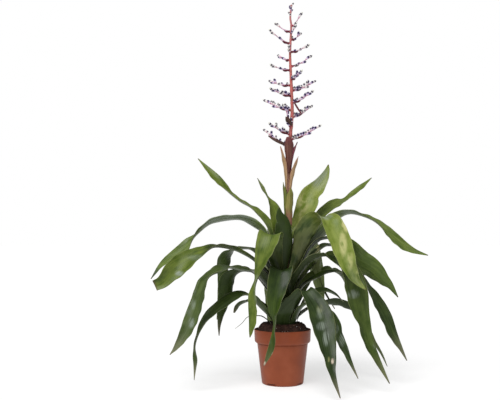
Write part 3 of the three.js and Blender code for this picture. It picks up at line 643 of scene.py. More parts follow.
def new_tree(name, inputs):
    """An empty geometry tree with named inputs, and its first node."""
    tree = bpy.data.node_groups.new(name, "GeometryNodeTree")
    tree.interface.new_socket("Geometry", in_out="INPUT", socket_type="NodeSocketGeometry")
    for label, kind in inputs.items():
        tree.interface.new_socket(label, in_out="INPUT", socket_type="NodeSocket" + kind)
    tree.interface.new_socket("Geometry", in_out="OUTPUT", socket_type="NodeSocketGeometry")
    return tree, tree.nodes.new("NodeGroupInput").outputs


def end_tree(tree, shape, finish):
    """Realizes what the tree made, gives it its material and hands it out."""
    real = put(tree, "GeometryNodeRealizeInstances", {"Geometry": shape})
    done = put(tree, "GeometryNodeSetMaterial", {"Geometry": real.outputs[0], "Material": finish})
    put(tree, "NodeGroupOutput", {"Geometry": done.outputs[0]})
    return tree


def stored(tree, name, kind="FLOAT"):
    """What a mesh stores at its corners under a name."""
    node = put(tree, "GeometryNodeInputNamedAttribute", {"Name": name}, data_type=kind)
    return node.outputs["Attribute"]


def stalk_tree():
    """Round stalks along the edges of a mesh, as thick as its corners say."""
    tree, given = new_tree("stalks along a path", {"Sides": "Int", "Finish": "Material"})
    path = put(tree, "GeometryNodeMeshToCurve", {"Mesh": given["Geometry"]})
    ring = put(tree, "GeometryNodeCurvePrimitiveCircle", {
        "Resolution": given["Sides"], "Radius": 1.0})
    skin = put(tree, "GeometryNodeCurveToMesh", {
        "Curve": path.outputs[0], "Profile Curve": ring.outputs["Curve"],
        "Scale": stored(tree, "thick"), "Fill Caps": True})
    smooth = put(tree, "GeometryNodeSetShadeSmooth", {"Geometry": skin.outputs[0]})
    return end_tree(tree, smooth.outputs[0], given["Finish"])


def floret_tree():
    """A floret on each corner of a mesh, along its heading, at its own size and turn."""
    tree, given = new_tree("florets on a stalk", {
        "Floret": "Object", "Size": "Float", "Finish": "Material"})
    heading = stored(tree, "heading", "FLOAT_VECTOR")
    aimed = put(tree, "FunctionNodeAlignRotationToVector", {"Vector": heading}, axis="Z")
    about = put(tree, "FunctionNodeAxisAngleToRotation", {
        "Axis": (0, 0, 1), "Angle": stored(tree, "spin")})
    turn = put(tree, "FunctionNodeRotateRotation", {
        "Rotation": aimed.outputs[0], "Rotate By": about.outputs[0]}, rotation_space="LOCAL")
    grown = put(tree, "ShaderNodeMath", {0: stored(tree, "size"), 1: given["Size"]},
                operation="MULTIPLY")
    one = put(tree, "GeometryNodeObjectInfo", {"Object": given["Floret"]})
    placed = put(tree, "GeometryNodeInstanceOnPoints", {
        "Points": given["Geometry"], "Instance": one.outputs["Geometry"],
        "Rotation": turn.outputs[0], "Scale": grown.outputs[0]})
    return end_tree(tree, placed.outputs[0], given["Finish"])


def scatter_tree():
    """Small things strewn over a surface, each picked, turned and sized at random."""
    tree, given = new_tree("things strewn on a surface", {
        "Things": "Collection", "Per Square Metre": "Float", "Smallest": "Float",
        "Largest": "Float", "Tilt": "Float", "Seed": "Int", "Finish": "Material"})
    spots = put(tree, "GeometryNodeDistributePointsOnFaces", {
        "Mesh": given["Geometry"], "Density": given["Per Square Metre"], "Seed": given["Seed"]})
    low = put(tree, "ShaderNodeCombineXYZ", {"X": 0.0, "Y": 0.0, "Z": -math.pi})
    lean = put(tree, "ShaderNodeCombineXYZ", {"X": given["Tilt"], "Y": given["Tilt"], "Z": math.pi})
    spin = put(tree, "FunctionNodeRandomValue", {
        0: low.outputs[0], 1: lean.outputs[0], "Seed": given["Seed"]}, data_type="FLOAT_VECTOR")
    size = put(tree, "FunctionNodeRandomValue", {
        2: given["Smallest"], 3: given["Largest"], "Seed": given["Seed"]}, data_type="FLOAT")
    things = put(tree, "GeometryNodeCollectionInfo", {
        "Collection": given["Things"], "Separate Children": True, "Reset Children": True})
    placed = put(tree, "GeometryNodeInstanceOnPoints", {
        "Points": spots.outputs["Points"], "Instance": things.outputs[0], "Pick Instance": True,
        "Rotation": spin.outputs[0], "Scale": size.outputs[1]})
    return end_tree(tree, placed.outputs[0], given["Finish"])


def grow(mesh, tree, values):
    """Runs a tree on a mesh and returns what it makes as a plain mesh."""
    source = add_object(mesh)
    modifier = source.modifiers.new(tree.name, "NODES")
    modifier.node_group = tree
    for item in tree.interface.items_tree:
        if item.in_out == "INPUT" and item.name in values:
            modifier[item.identifier] = values[item.name]
    source.update_tag()
    made = finished_mesh(source)
    made.name = mesh.name
    bpy.data.objects.remove(source)
    bpy.data.meshes.remove(mesh)
    return made


def join(name, meshes):
    """Several meshes with their materials as one piece."""
    pieces = [add_object(mesh) for mesh in meshes]
    with bpy.context.temp_override(active_object=pieces[0], selected_editable_objects=pieces):
        bpy.ops.object.join()
    pieces[0].name = name
    pieces[0].data.name = name
    return pieces[0]


def keep(piece, slot, *nodes):
    """Attaches a finished piece to the body it rides on and hides the solids that it stands for;
    its slot is not used.
    """
    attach(piece, BODY)
    if nodes:
        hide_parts(*nodes)
    return piece


# Pot, soil and crown


def shown(outline):
    """An outline in millimetres as one in metres."""
    return [(radius * MM, height * MM) for radius, height in outline]


def make_pot():
    """A turned wall with a rounded foot, a deeper rim band and a thin lip, notched at its foot."""
    foot = arc((FOOT_RADIUS, BODY_BOTTOM), BODY_BOTTOM_RADIUS - FOOT_RADIUS, -90, -7, 8)
    band = arc((BODY_TOP_RADIUS, RIM_BOTTOM), RIM_STEP_RADIUS - BODY_TOP_RADIUS, -90, -3, 10)
    lip = arc((RIM_RADIUS - LIP_ROUND, POT_HEIGHT - LIP_ROUND), LIP_ROUND, 0, 180, 8)
    step = BODY_TOP_RADIUS - POT_WALL
    body = [(BODY_BOTTOM_RADIUS + (BODY_TOP_RADIUS - BODY_BOTTOM_RADIUS) * i / 10,
             BODY_BOTTOM + (BODY_TOP - BODY_BOTTOM) * i / 10) for i in range(1, 11)]
    groove = [(BODY_TOP_RADIUS - GROOVE, BODY_TOP + GROOVE)]
    inner = [
        (RIM_STEP_RADIUS - POT_WALL, RIM_BOTTOM + 1), (step, BODY_TOP + 1),
        (BODY_BOTTOM_RADIUS - POT_WALL, BODY_BOTTOM), (FOOT_RADIUS + 1, POT_FLOOR), (0, POT_FLOOR),
    ]
    outline = [(0, 0), (FOOT_RADIUS / 2, 0)] + foot + body + groove + band + lip + inner
    pot = add_object(turned("pot", shown(outline), POT_SIDES))
    cutters = []
    for i in range(NOTCH_COUNT):
        made = bmesh.new()
        bmesh.ops.create_cube(made, size=1)
        size = Matrix.Diagonal((NOTCH_REACH * MM, NOTCH_WIDTH * MM, NOTCH_HEIGHT * 2 * MM, 1))
        bmesh.ops.transform(made, matrix=size, verts=made.verts)
        bmesh.ops.bevel(made, geom=made.edges[:], offset=NOTCH_BEVEL * MM, segments=3,
                        affect="EDGES")
        out = Matrix.Translation(((FOOT_RADIUS + NOTCH_REACH / 2) * MM, 0, 0))
        turn = Matrix.Rotation(math.radians(FIRST_NOTCH + i * 360 / NOTCH_COUNT), 4, "Z")
        bmesh.ops.transform(made, matrix=turn @ out, verts=made.verts)
        cutters.append(mesh_of(f"notch {i}", made))
    cutter = join("notches", cutters)
    cut = pot.modifiers.new("notches", "BOOLEAN")
    cut.object, cut.operation, cut.solver = cutter, "DIFFERENCE", "EXACT"
    pot.data = finished_mesh(pot)
    bpy.data.objects.remove(cutter)
    pot.data.shade_smooth()
    pot.data.set_sharp_from_angle(angle=SHARP_EDGE)
    pot.data.materials.clear()
    pot.data.materials.append(FINISHES["pot"])
    keep(pot, "pot_plastic", "pot")


def soil_height(x, y):
    """The height of the crumbly soil at a point, in millimetres."""
    radius = math.hypot(x, y)
    mound = SOIL_MOUND * smoothstep(RIM_STEP_RADIUS - 2 - radius, 0, 15)
    crumbs = math.sin(x * 0.61 + 1.3) * math.sin(y * 0.53 - 0.4) * 1.1
    crumbs += math.sin(x * 0.27 - y * 0.31) * 0.9 + math.sin(x * 1.1 + y * 0.9) * 0.5
    crumbs += noise.noise(Vector((x * 0.35, y * 0.35, 3.1))) * 1.6
    crumbs += noise.noise(Vector((x * 0.9, y * 0.9, 7.7))) * 0.8
    return SOIL_EDGE + mound + crumbs * smoothstep(RIM_STEP_RADIUS - 1 - radius, 0, 8)


def make_soil():
    """The soil that fills the pot, with its crumbs, grains and fibres on top."""
    gap = POT_WALL + CLEARANCE
    edge = RIM_RADIUS - gap - 0.2
    count = round((edge - HOLE_RADIUS) / SOIL_STEP)
    top = [(edge + (HOLE_RADIUS - edge) * i / count, SOIL_EDGE) for i in range(count + 1)]
    outline = [
        (0, POT_FLOOR + CLEARANCE), (FOOT_RADIUS + 0.2, POT_FLOOR + CLEARANCE),
        (BODY_BOTTOM_RADIUS - gap, BODY_BOTTOM + 0.6), (BODY_TOP_RADIUS - gap, BODY_TOP + 1.5),
        (RIM_STEP_RADIUS - gap, RIM_BOTTOM + 1.4),
    ] + top + [(HOLE_RADIUS, FOOT_Z - CLEARANCE), (0, FOOT_Z - CLEARANCE)]
    mesh = turned("soil", shown(outline), SOIL_SIDES)
    for corner in mesh.vertices:
        if abs(corner.co.z - SOIL_EDGE * MM) < 1e-6:
            corner.co.z = soil_height(corner.co.x / MM, corner.co.y / MM) * MM
    mesh.materials.append(FINISHES["soil"])
    keep(add_object(mesh), "potting_soil", "soil")
    strew("soil_crumbs", lumps("crumb", 5, CRUMB_RADIUS, 17), CRUMBS_PER_SQUARE_METRE,
          0.5, 1.25, 11, FINISHES["soil crumbs"])
    strew("perlite_grains", lumps("grain", 3, GRAIN_RADIUS, 29), GRAINS_PER_SQUARE_METRE,
          0.8, 1.7, 23, FINISHES["perlite"])
    strew("soil_fibres", fibres(4, 41), FIBRES_PER_SQUARE_METRE, 0.7, 1.4, 37, FINISHES["fibres"])


def soil_top(name):
    """The open band of soil between the leaves and the rim, for things to lie on."""
    made = bmesh.new()
    rings = []
    for radius in SOIL_BAND:
        ring = []
        for j in range(BAND_SIDES):
            x, y = (radius * f(2 * math.pi * j / BAND_SIDES) for f in (math.cos, math.sin))
            ring.append(made.verts.new((x * MM, y * MM, soil_height(x, y) * MM)))
        rings.append(ring)
    for low, high in zip(rings, rings[1:]):
        for j in range(BAND_SIDES):
            k = (j + 1) % BAND_SIDES
            made.faces.new((low[j], high[j], high[k], low[k]))
    return mesh_of(name, made)


def lumps(name, count, size, seed):
    """A few small rough lumps of some twenty faces each, about a millimetre across."""
    draw = random.Random(seed)
    group = bpy.data.collections.new(name)
    for k in range(count):
        made = bmesh.new()
        bmesh.ops.create_icosphere(made, subdivisions=1, radius=size * MM)
        shape = Vector((draw.uniform(0.8, 1.3), draw.uniform(0.7, 1.1), draw.uniform(0.5, 0.8)))
        for corner in made.verts:
            corner.co = corner.co * shape * draw.uniform(0.75, 1.2)
        mesh = mesh_of(f"{name} {k}", made)
        group.objects.link(bpy.data.objects.new(mesh.name, mesh))
    return group


def fibres(count, seed):
    """A few bent three-sided fibres, some six millimetres long."""
    draw = random.Random(seed)
    group = bpy.data.collections.new("fibre")
    for k in range(count):
        at, way = np.array([-3.0, 0.0, 0.3]), draw.uniform(-0.6, 0.6)
        points = []
        for _ in range(FIBRE_POINTS):
            points.append(at.copy())
            way += draw.uniform(-0.5, 0.5)
            at += np.array([math.cos(way), math.sin(way), draw.uniform(-0.15, 0.15)]) * FIBRE_STEP
        corners, faces = [], []
        for x, y, z in points:
            for j in range(3):
                turn = 2 * math.pi * j / 3
                corners.append((x * MM, (y + FIBRE_RADIUS * math.cos(turn)) * MM,
                                (z + FIBRE_RADIUS * math.sin(turn)) * MM))
        for i in range(FIBRE_POINTS - 1):
            for j in range(3):
                a, b = i * 3 + j, i * 3 + (j + 1) % 3
                faces.append((a, b, b + 3, a + 3))
        last = 3 * FIBRE_POINTS - 3
        faces += [(2, 1, 0), (last, last + 1, last + 2)]
        mesh = bpy.data.meshes.new(f"fibre {k}")
        mesh.from_pydata(corners, [], faces)
        group.objects.link(bpy.data.objects.new(mesh.name, mesh))
    return group


def strew(name, things, density, smallest, largest, seed, finish):
    """Strews things over the soil and keeps them as one piece."""
    values = {"Things": things, "Per Square Metre": float(density), "Smallest": smallest,
              "Largest": largest, "Tilt": GRAIN_TILT, "Seed": seed, "Finish": finish}
    mesh = grow(soil_top(name), TREES["strew"], values)
    for piece in list(things.objects):
        bpy.data.objects.remove(piece)
    bpy.data.collections.remove(things)
    keep(add_object(mesh), "potting_soil")


def make_crown():
    """The short woody foot that the leaves and the stem grow from, with its old leaf rings."""
    outline = CROWN_OUTLINE[:2]
    for (r0, z0), (r1, z1) in zip(CROWN_OUTLINE[1:], CROWN_OUTLINE[2:-1]):
        steps = max(1, round((z1 - z0) / CROWN_STEP))
        for i in range(1, steps + 1):
            z = z0 + (z1 - z0) * i / steps
            ring = CROWN_RING_DEPTH * (1 + math.sin(z * 2.1))
            outline.append((r0 + (r1 - r0) * i / steps - ring, z))
    outline.append(CROWN_OUTLINE[-1])
    mesh = turned("crown", shown(outline), CROWN_SIDES)
    mesh.materials.append(FINISHES["crown"])
    keep(add_object(mesh), "crown_wood", "crown")


# Flower stem and its sprays


def stem_at(z):
    """The middle of the flower stem at a height, in millimetres."""
    high = next((i for i, point in enumerate(STEM_ROUTE) if point[2] >= z), len(STEM_ROUTE) - 1)
    high = max(1, high)
    a, b = np.array(STEM_ROUTE[high - 1], float), np.array(STEM_ROUTE[high], float)
    return a + (b - a) * (z - a[2]) / (b[2] - a[2])


def stem_radius(z):
    return float(np.interp(z, *zip(*STEM_RADII)))


def path_mesh(name, points, radii):
    """A path of edges with the stalk's radius at each corner, all given in millimetres."""
    mesh = bpy.data.meshes.new(name)
    edges = [(i, i + 1) for i in range(len(points) - 1)]
    mesh.from_pydata([tuple(np.array(point) * MM) for point in points], edges, [])
    mark(mesh, "thick", [radius * MM for radius in radii])
    return mesh


def floret_points(name, florets):
    """A corner for each floret, with its heading, size, turn and age."""
    mesh = bpy.data.meshes.new(name)
    mesh.from_pydata([tuple(root * MM) for root, _, _, _ in florets], [], [])
    draw = random.Random(name)
    mark(mesh, "heading", [direction for _, direction, _, _ in florets], "FLOAT_VECTOR")
    mark(mesh, "size", [size for _, _, size, _ in florets])
    mark(mesh, "spin", [draw.uniform(0, 2 * math.pi) for _ in florets])
    mark(mesh, "age", [age for _, _, _, age in florets])
    return mesh


def boat_bract(name, root, reach, bow, length, width, fold=SPRAY_BRACT_FOLD):
    """A narrow folded bract from a root, along a reach, bowed below it."""
    over = -np.cross(unit(np.cross(reach, UP)), reach)
    side = np.cross(reach, over)
    shares = np.array(SPRAY_BRACT_SHAPE)[:, None]
    stations = []
    for i in range(SPRAY_BRACT_STEPS + 1):
        t = i / SPRAY_BRACT_STEPS
        share = max(through(shares, t)[0], 0.12)
        centre = root + reach * t * length + over * bow * math.sin(t * 2.2)
        stations.append((centre * MM, side, -over, width * share * fold * MM,
                         width * max(share, 0.5) * 0.5 * MM, BRACT_THICKNESS * MM))
    return blade(name, stations, BRACT_STRIPS)


def spray_parts(name, base, tip, bract_length, bract_width, draw, crowd=0):
    """A spray's stalk, its florets with crowd raised ones at each, and the bract under it."""
    span = tip - base
    length = np.linalg.norm(span)
    heading = heading_to(tip, base)
    elbow = base + heading * RACHIS_ELBOW
    middle = elbow + (tip - elbow) * 0.5 - UP * RACHIS_SAG * length
    route = np.array([base, elbow, middle, tip])
    taper = np.array(RACHIS_TAPER)[:, None]
    count = max(2, round(length * FLOWERED_SHARE / FLORET_SPACING))
    spots = [FIRST_FLORET + (LAST_FLORET - FIRST_FLORET) * i / (count - 1) for i in range(count)]
    shares = [i / RACHIS_STEPS for i in range(RACHIS_STEPS + 1)]
    radii = []
    for t in shares:
        swell = sum(math.exp(-(((t - spot) * length) / NODE_REACH) ** 2) for spot in spots)
        radii.append(through(taper, t)[0] * RACHIS_RADIUS * (1 + NODE_SWELL * swell))
    path = path_mesh(name + " stalk", [through(route, t) for t in shares], radii)
    mark(path, "share", shares)
    stalk = grow(path, TREES["stalk"], {"Sides": RACHIS_SIDES, "Finish": FINISHES["stalk"]})

    florets = []
    for i, t in enumerate(spots):
        along = tangent(route, t)
        side = unit(np.cross(along, UP))
        over = np.cross(side, along)
        sheltered = t * length < bract_length + FLORET_LENGTH
        free = (i * GOLDEN_TURN) % (2 * math.pi)
        turn = 0.4 + ((free % math.pi) / math.pi) * (math.pi - 0.8) if sheltered else free
        direction = along * math.cos(FLORET_LEAN)
        direction += (over * math.sin(turn) + side * math.cos(turn)) * math.sin(FLORET_LEAN)
        navy = draw.random() < NAVY_SHARE
        age = draw.uniform(0.0, 0.38) if navy else draw.uniform(0.44, 0.64)
        florets.append((through(route, t), unit(direction), draw.uniform(0.98, 1.1), age))
        for k in range(crowd):
            rise = unit(along * draw.uniform(0.5, 1.0) + over * draw.uniform(0.4, 0.9)
                        + side * draw.uniform(-0.6, 0.6))
            age = draw.choice((0.2, 0.3, 0.5, 0.55))
            root = through(route, t - RAISED_START - RAISED_STEP * k)
            florets.append((root, rise, draw.uniform(0.75, 1.05), age))
    end = tangent(route, 1)
    florets.append((tip - end * 2, end, draw.uniform(0.95, 1.05), 0.5))
    parts = [stalk, floret_mesh(name, florets)]

    if bract_length > 0:
        start = base + heading * 1.5 - UP * 0.6
        broad = bract_width > SPRAY_BRACT_WIDTH
        fold = BROAD_BRACT_FOLD if broad else SPRAY_BRACT_FOLD
        bract = boat_bract(name + " bract", start, unit(span), SPRAY_BRACT_BOW * bract_width,
                           bract_length, bract_width, fold)
        bract.materials.append(FINISHES["brown spray bract" if broad else "spray bract"])
        parts.append(bract)
    return parts


def floret_mesh(name, florets):
    return grow(floret_points(name + " florets", florets), TREES["floret"],
                {"Floret": FLORET, "Size": 1.0, "Finish": FINISHES["floret"]})


def heading_to(tip, base):
    return unit(np.array([tip[0] - base[0], tip[1] - base[1], 0.0]))


def make_sprays():
    """The nineteen sprays up the stem, each with its florets and bract."""
    for i, spray in enumerate(SPRAYS):
        name = f"flower_spray_{i + 1:02d}"
        draw = random.Random(500 + i)
        centre = stem_at(spray["root"])
        tip = np.array(spray["tip"], float)
        heading = heading_to(tip, centre)
        base = centre + heading * (stem_radius(spray["root"]) + CLEARANCE + 0.1)
        wide = spray.get("wide", SPRAY_BRACT_WIDTH)
        parts = spray_parts(name, base, tip, spray["bract"], wide, draw, spray.get("crowd", 0))
        if "fallen" in spray:
            start = base + heading * 0.8
            reach = np.array(spray["fallen"], float) - start
            fallen = boat_bract(name + " fallen", start, unit(reach), 3, np.linalg.norm(reach), 6)
            fallen.materials.append(FINISHES["spray bract"])
            parts.append(fallen)
        keep(join(name + "_fine", parts), "florets", name)


def make_stem():
    """The flower stem, swollen where sprays and bracts join it, with its topmost florets."""
    route = np.array(STEM_ROUTE, float)
    roots = [spray["root"] for spray in SPRAYS] + [bract["root"] for bract in BRACTS]
    points = [through(route, i / STEM_STEPS) for i in range(STEM_STEPS + 1)]
    radii = []
    for *_, z in points:
        swell = sum(math.exp(-((z - root + 1) / JOINT_REACH) ** 2) for root in roots)
        rough = noise.noise(Vector((0.4, 0.9, z * 0.06))) * 0.04
        radii.append(stem_radius(z) * (1 + JOINT_SWELL * min(swell, 1.2) + rough))
    stem = grow(path_mesh("stem", points, radii), TREES["stalk"],
                {"Sides": STEM_SIDES, "Finish": FINISHES["stem"]})
    draw = random.Random(77)
    florets = []
    for i in range(2 * TOP_FLORETS):
        turn = i / 2 * GOLDEN_TURN
        lean = 0.8 if i % 2 else 0.55
        direction = unit(np.array([math.cos(turn) * lean, math.sin(turn) * lean, 0.83]))
        root = stem_at(STEM_ROUTE[-1][2] - 3 - TOP_FLORET_STEP * i / 2)
        size = TOP_FLORET_SIZE * (1.0 - 0.2 * (i % 2))
        florets.append((root, direction, size, draw.choice((0.1, 0.5, 0.55))))
    parts = [stem, floret_mesh("stem top", florets)]
    for i, spray in enumerate(SESSILE):
        base = stem_at(spray["root"])
        tip = np.array(spray["tip"], float)
        parts += spray_parts(f"side floret {i}", base, tip, 0, SPRAY_BRACT_WIDTH, draw)
    keep(join("flower_stem_fine", parts), "flower_stem", "flower_stem")


def facing(azimuth):
    """The level directions away from the stem and round it, for a turn about it in degrees."""
    turn = math.radians(azimuth)
    return (np.array([math.cos(turn), math.sin(turn), 0.0]),
            np.array([-math.sin(turn), math.cos(turn), 0.0]))


def make_bracts():
    """The six bracts that clasp the stem below the flowers."""
    looks = {
        "bract_green": "green_bract", "bract_olive": "green_bract", "bract_tan_right": "dry_bract",
        "bract_tan_left": "dry_bract", "bract_front": "red_bract", "bract_behind": "red_bract",
    }
    for k, bract in enumerate(BRACTS):
        outward, sideways = facing(bract["azimuth"])
        shares = np.array(bract.get("shape", BRACT_SHAPE))[:, None]
        length, flare, width = bract["length"], bract["flare"], bract["width"]
        stations = []
        for i in range(BRACT_STEPS + 1):
            t = i / BRACT_STEPS
            away = stem_radius(bract["root"]) + 1.1 + bract.get("layer", 0) + flare * t * t
            slope = math.atan2(2 * flare * t, length)
            along = outward * math.sin(slope) + UP * math.cos(slope)
            wide = width * max(through(shares, t)[0], 0.06)
            centre = stem_at(bract["root"] + length * t) + outward * away
            stations.append((centre * MM, sideways, unit(np.cross(along, sideways)), wide * MM,
                             max(away, wide * 0.36) * MM, BRACT_THICKNESS * MM))
        u = np.linspace(0, 1, BRACT_STRIPS + 1)[None, :]
        v = np.linspace(0, 1, BRACT_STEPS + 1)[:, None]
        ripple = np.abs(2 * u - 1) ** 2 * np.sin(v * 21 + u * 4 + k)
        lift = BRACT_RIPPLE * MM * ripple * smoothstep(v, 0.1, 0.5)
        mesh = blade(bract["name"] + "_fine", stations, BRACT_STRIPS, lift)
        mesh.materials.append(FINISHES[bract["name"]])
        keep(add_object(mesh), looks[bract["name"]], bract["name"])


# Leaves


def ring_radius(ring, z):
    """The radius of a ring of leaf sheaths at a height, in millimetres."""
    rise = max(0.0, z - FOOT_Z) / 100
    return FIRST_RING + RING_PITCH * ring + (RING_SPREAD + RING_SPREAD_STEP * ring) * rise * rise


def leaf_keys(leaf):
    """Rows of place, width, roll, curl angle and thickness, from the leaf's foot to its tip."""
    outward, _ = facing(leaf["azimuth"])
    rows = leaf["rows"]
    top = rows[0][2]
    lip = FOOT_Z + min(SHEATH_LIP, (top - FOOT_Z) * SHEATH_LIP_SHARE)
    climb = max(1, round((top - lip) / SHEATH_STEP))
    keys = []
    for i in range(-1, climb):
        z = FOOT_Z if i < 0 else lip + (top - lip) * i / climb
        radius = ring_radius(leaf["ring"], z)
        angle = 2 * math.radians(leaf["half"])
        keys.append((outward[0] * radius, outward[1] * radius, z, angle * radius, 0, angle))
    for x, y, z, width, roll in rows:
        keys.append((x, y, z, width, roll, 1 / CHANNEL))
    keys = np.array(keys, float)
    thick = np.linspace(LEAF_THICKNESS, TIP_THICKNESS, len(keys))[:, None]
    return np.hstack([keys, thick]), climb + 1


def make_leaf(number, leaf):
    """A strap leaf from its sheath to its tip, with rippled edges and its own colouring."""
    keys, first = leaf_keys(leaf)
    _, sideways = facing(leaf["azimuth"])
    last = len(keys) - 1
    steps = last * STEPS_PER_ROW
    places = keys[:, :3]
    stations, middles = [], []
    for i in range(steps + 1):
        share = i / steps
        at = through(keys, share)
        along = UP if i == 0 else tangent(places, share)
        level = unit(sideways - along * np.dot(sideways, along))
        across = turned_about(level, along, math.radians(at[4]))
        inward = unit(np.cross(along, across))
        spot = min(int(share * last), last - 1)
        part = share * last - spot
        angle = keys[spot, 5] * (1 - part) + keys[spot + 1, 5] * part
        width = max(at[3], THINNEST)
        stations.append((at[:3] * MM, across, inward, width * MM, width / angle * MM, at[6] * MM))
        middles.append(at[:3])
    middles = np.array(middles)
    run = np.concatenate([[0.0], np.cumsum(np.linalg.norm(np.diff(middles, axis=0), axis=1))])
    start = run[min(first * STEPS_PER_ROW, steps)]
    free = smoothstep(run, start, start + RIPPLE_START)[:, None]
    u = np.linspace(0, 1, LEAF_STRIPS + 1)[None, :]
    away = np.abs(2 * u - 1)
    draw = random.Random(900 + number)
    wave, phase = draw.uniform(24, 34), draw.uniform(0, 6)
    size = np.array([station[3] for station in stations])[:, None] / MM
    ripple = np.sin(run[:, None] / wave * 2 * math.pi + phase + 1.9 * (u > 0.5)) * away ** 2.5
    swell = np.sin(run[:, None] / (wave * 2.7) * 2 * math.pi + phase * 2) * (1 - away)
    lift = (ripple * RIPPLE + swell * SWELL) * free * smoothstep(size, 4, FULL_RIPPLE_WIDTH) * MM
    name = f"leaf_{number:02d}"
    mesh = blade(name + "_fine", stations, LEAF_STRIPS, lift)
    colour_leaf(mesh, number, run)
    mesh.materials.append(FINISHES["leaf"])
    keep(add_object(mesh), "leaf", name)


def colour_leaf(mesh, number, run):
    """Stores the leaf's tone, yellowness, waxy paleness with painted sheen and dryness at each
    corner, with its own marks, and paints shade on it towards the middle of the rosette."""
    tone, yellow, wax, age = LEAF_LOOKS[number - 1]
    count = len(mesh.vertices)
    at = np.empty(count * 3, np.float32)
    mesh.vertices.foreach_get("co", at)
    at = at.reshape(-1, 3) / MM
    around = 2 * (LEAF_STRIPS + 1)
    share = np.repeat(run / run[-1], around)
    amounts = {
        "yellow": np.full(count, yellow * YELLOWEST),
        "wax": np.full(count, wax * MOST_WAX_AND_SHEEN),
        "dry": age * smoothstep(share, WITHERING, 1.0),
        "shade": np.zeros(count),
        "edge": np.zeros(count),
    }
    for kind, x, z, reach_x, reach_z, strength in LEAF_MARKS.get(number, []):
        far = np.sqrt(((at[:, 0] - x) / reach_x) ** 2 + ((at[:, 2] - z) / reach_z) ** 2)
        amounts[kind] = np.maximum(amounts[kind], strength * (1 - smoothstep(far, 0.45, 1.15)))
    # Painted shade: the leaf is darker in the rosette's heart, where shade falls among the leaves
    heart_shade_height = smoothstep(at[:, 2], *HEART_FOOT) * (1 - smoothstep(at[:, 2], *HEART_TOP))
    painted_heart_shade = (1 - smoothstep(np.hypot(at[:, 0], at[:, 1]), *HEART_RADII)) * heart_shade_height
    light = EDGE_LIGHTENS * amounts.pop("edge") - SHADE_DARKENS * amounts.pop("shade")
    mark(mesh, "tone", tone + light - HEART_PAINTED_SHADE * painted_heart_shade)
    for kind, amount in amounts.items():
        mark(mesh, kind, np.clip(amount, 0, 1))


def make_floret():
    """One floret at its full size along Z, whose share of length is kept for its colours."""
    outline = [(radius * MM, share * FLORET_LENGTH * MM) for share, radius, _ in FLORET_OUTLINE]
    outline = [(0.0, 0.0)] + outline
    mesh = turned("floret", outline, FLORET_SIDES, [0] + [lobe for _, _, lobe in FLORET_OUTLINE])
    mark(mesh, "share", [corner.co.z / (FLORET_LENGTH * MM) for corner in mesh.vertices])
    return bpy.data.objects.new("floret", mesh)


# Finishes: the colour and roughness patterns, all computed


def new_effect(name, inputs, outputs):
    """An empty shared shader effect with named inputs and outputs, and its two ends."""
    tree = bpy.data.node_groups.new(name, "ShaderNodeTree")
    for label, kind in inputs.items():
        tree.interface.new_socket(label, in_out="INPUT", socket_type="NodeSocket" + kind)
    for label, kind in outputs.items():
        tree.interface.new_socket(label, in_out="OUTPUT", socket_type="NodeSocket" + kind)
    return tree, tree.nodes.new("NodeGroupInput").outputs, tree.nodes.new("NodeGroupOutput")


def math_of(tree, operation, *values):
    return put(tree, "ShaderNodeMath", dict(enumerate(values)), operation=operation).outputs[0]


def ranged(tree, value, low, high, first=0.0, last=1.0):
    """A value's share of the way from low to high, softly, as a value from first to last."""
    return put(tree, "ShaderNodeMapRange", {
        "Value": value, "From Min": low, "From Max": high, "To Min": first, "To Max": last},
        interpolation_type="SMOOTHSTEP").outputs["Result"]


def mixed(tree, share, first, last):
    """Two colours mixed by a share."""
    node = put(tree, "ShaderNodeMix", {0: share}, data_type="RGBA")
    for key, colour in ((6, first), (7, last)):
        if isinstance(colour, bpy.types.NodeSocket):
            tree.links.new(colour, node.inputs[key])
        else:
            node.inputs[key].default_value = (*colour, 1)
    return node.outputs[2]


def ramp(tree, value, stops):
    """Colours along a value, by their places."""
    node = put(tree, "ShaderNodeValToRGB", {"Fac": value})
    points = node.color_ramp.elements
    while len(points) < len(stops):
        points.new(0.5)
    for point, (place, colour) in zip(points, stops):
        point.position = place
        point.color = (*colour, 1)
    return node.outputs["Color"]


def attribute(tree, name, output="Fac"):
    node = put(tree, "ShaderNodeAttribute", attribute_name=name, attribute_type="GEOMETRY")
    return node.outputs[output]


def across_and_along(tree):
    """How far a point lies from a blade's midline, 0.5 at its edge, and its share of the length."""
    place = put(tree, "ShaderNodeUVMap", uv_map="UVMap").outputs[0]
    parts = put(tree, "ShaderNodeSeparateXYZ", {"Vector": place}).outputs
    return math_of(tree, "ABSOLUTE", math_of(tree, "SUBTRACT", parts["X"], 0.5)), parts["Y"]


def strand_effect():
    """Lengthwise lines, broader bands and soft blotches along a blade, from its own run."""
    tree, _, ends = new_effect("strands", {}, {
        "Lines": "Float", "Bands": "Float", "Blotches": "Float"})
    run = attribute(tree, "run", "Vector")
    for label, scale, detail in (("Lines", (1500, 22, 1), 2.0), ("Bands", (320, 9, 1), 2.0),
                                 ("Blotches", (60, 34, 1), 4.0)):
        place = put(tree, "ShaderNodeMapping", {"Vector": run, "Scale": scale}).outputs[0]
        pattern = put(tree, "ShaderNodeTexNoise", {"Vector": place, "Scale": 1.0, "Detail": detail})
        tree.links.new(pattern.outputs["Fac"], ends.inputs[label])
    return tree


def cloud_effect():
    """Soft clouds and fine grain through a piece, at a given scale."""
    tree, given, ends = new_effect("clouds", {"Scale": "Float"}, {
        "Clouds": "Float", "Grain": "Float"})
    place = put(tree, "ShaderNodeTexCoord").outputs["Object"]
    clouds = put(tree, "ShaderNodeTexNoise", {
        "Vector": place, "Scale": given["Scale"], "Detail": 4.0})
    finer = math_of(tree, "MULTIPLY", given["Scale"], 14.0)
    grain = put(tree, "ShaderNodeTexNoise", {"Vector": place, "Scale": finer, "Detail": 3.0})
    tree.links.new(clouds.outputs["Fac"], ends.inputs["Clouds"])
    tree.links.new(grain.outputs["Fac"], ends.inputs["Grain"])
    return tree


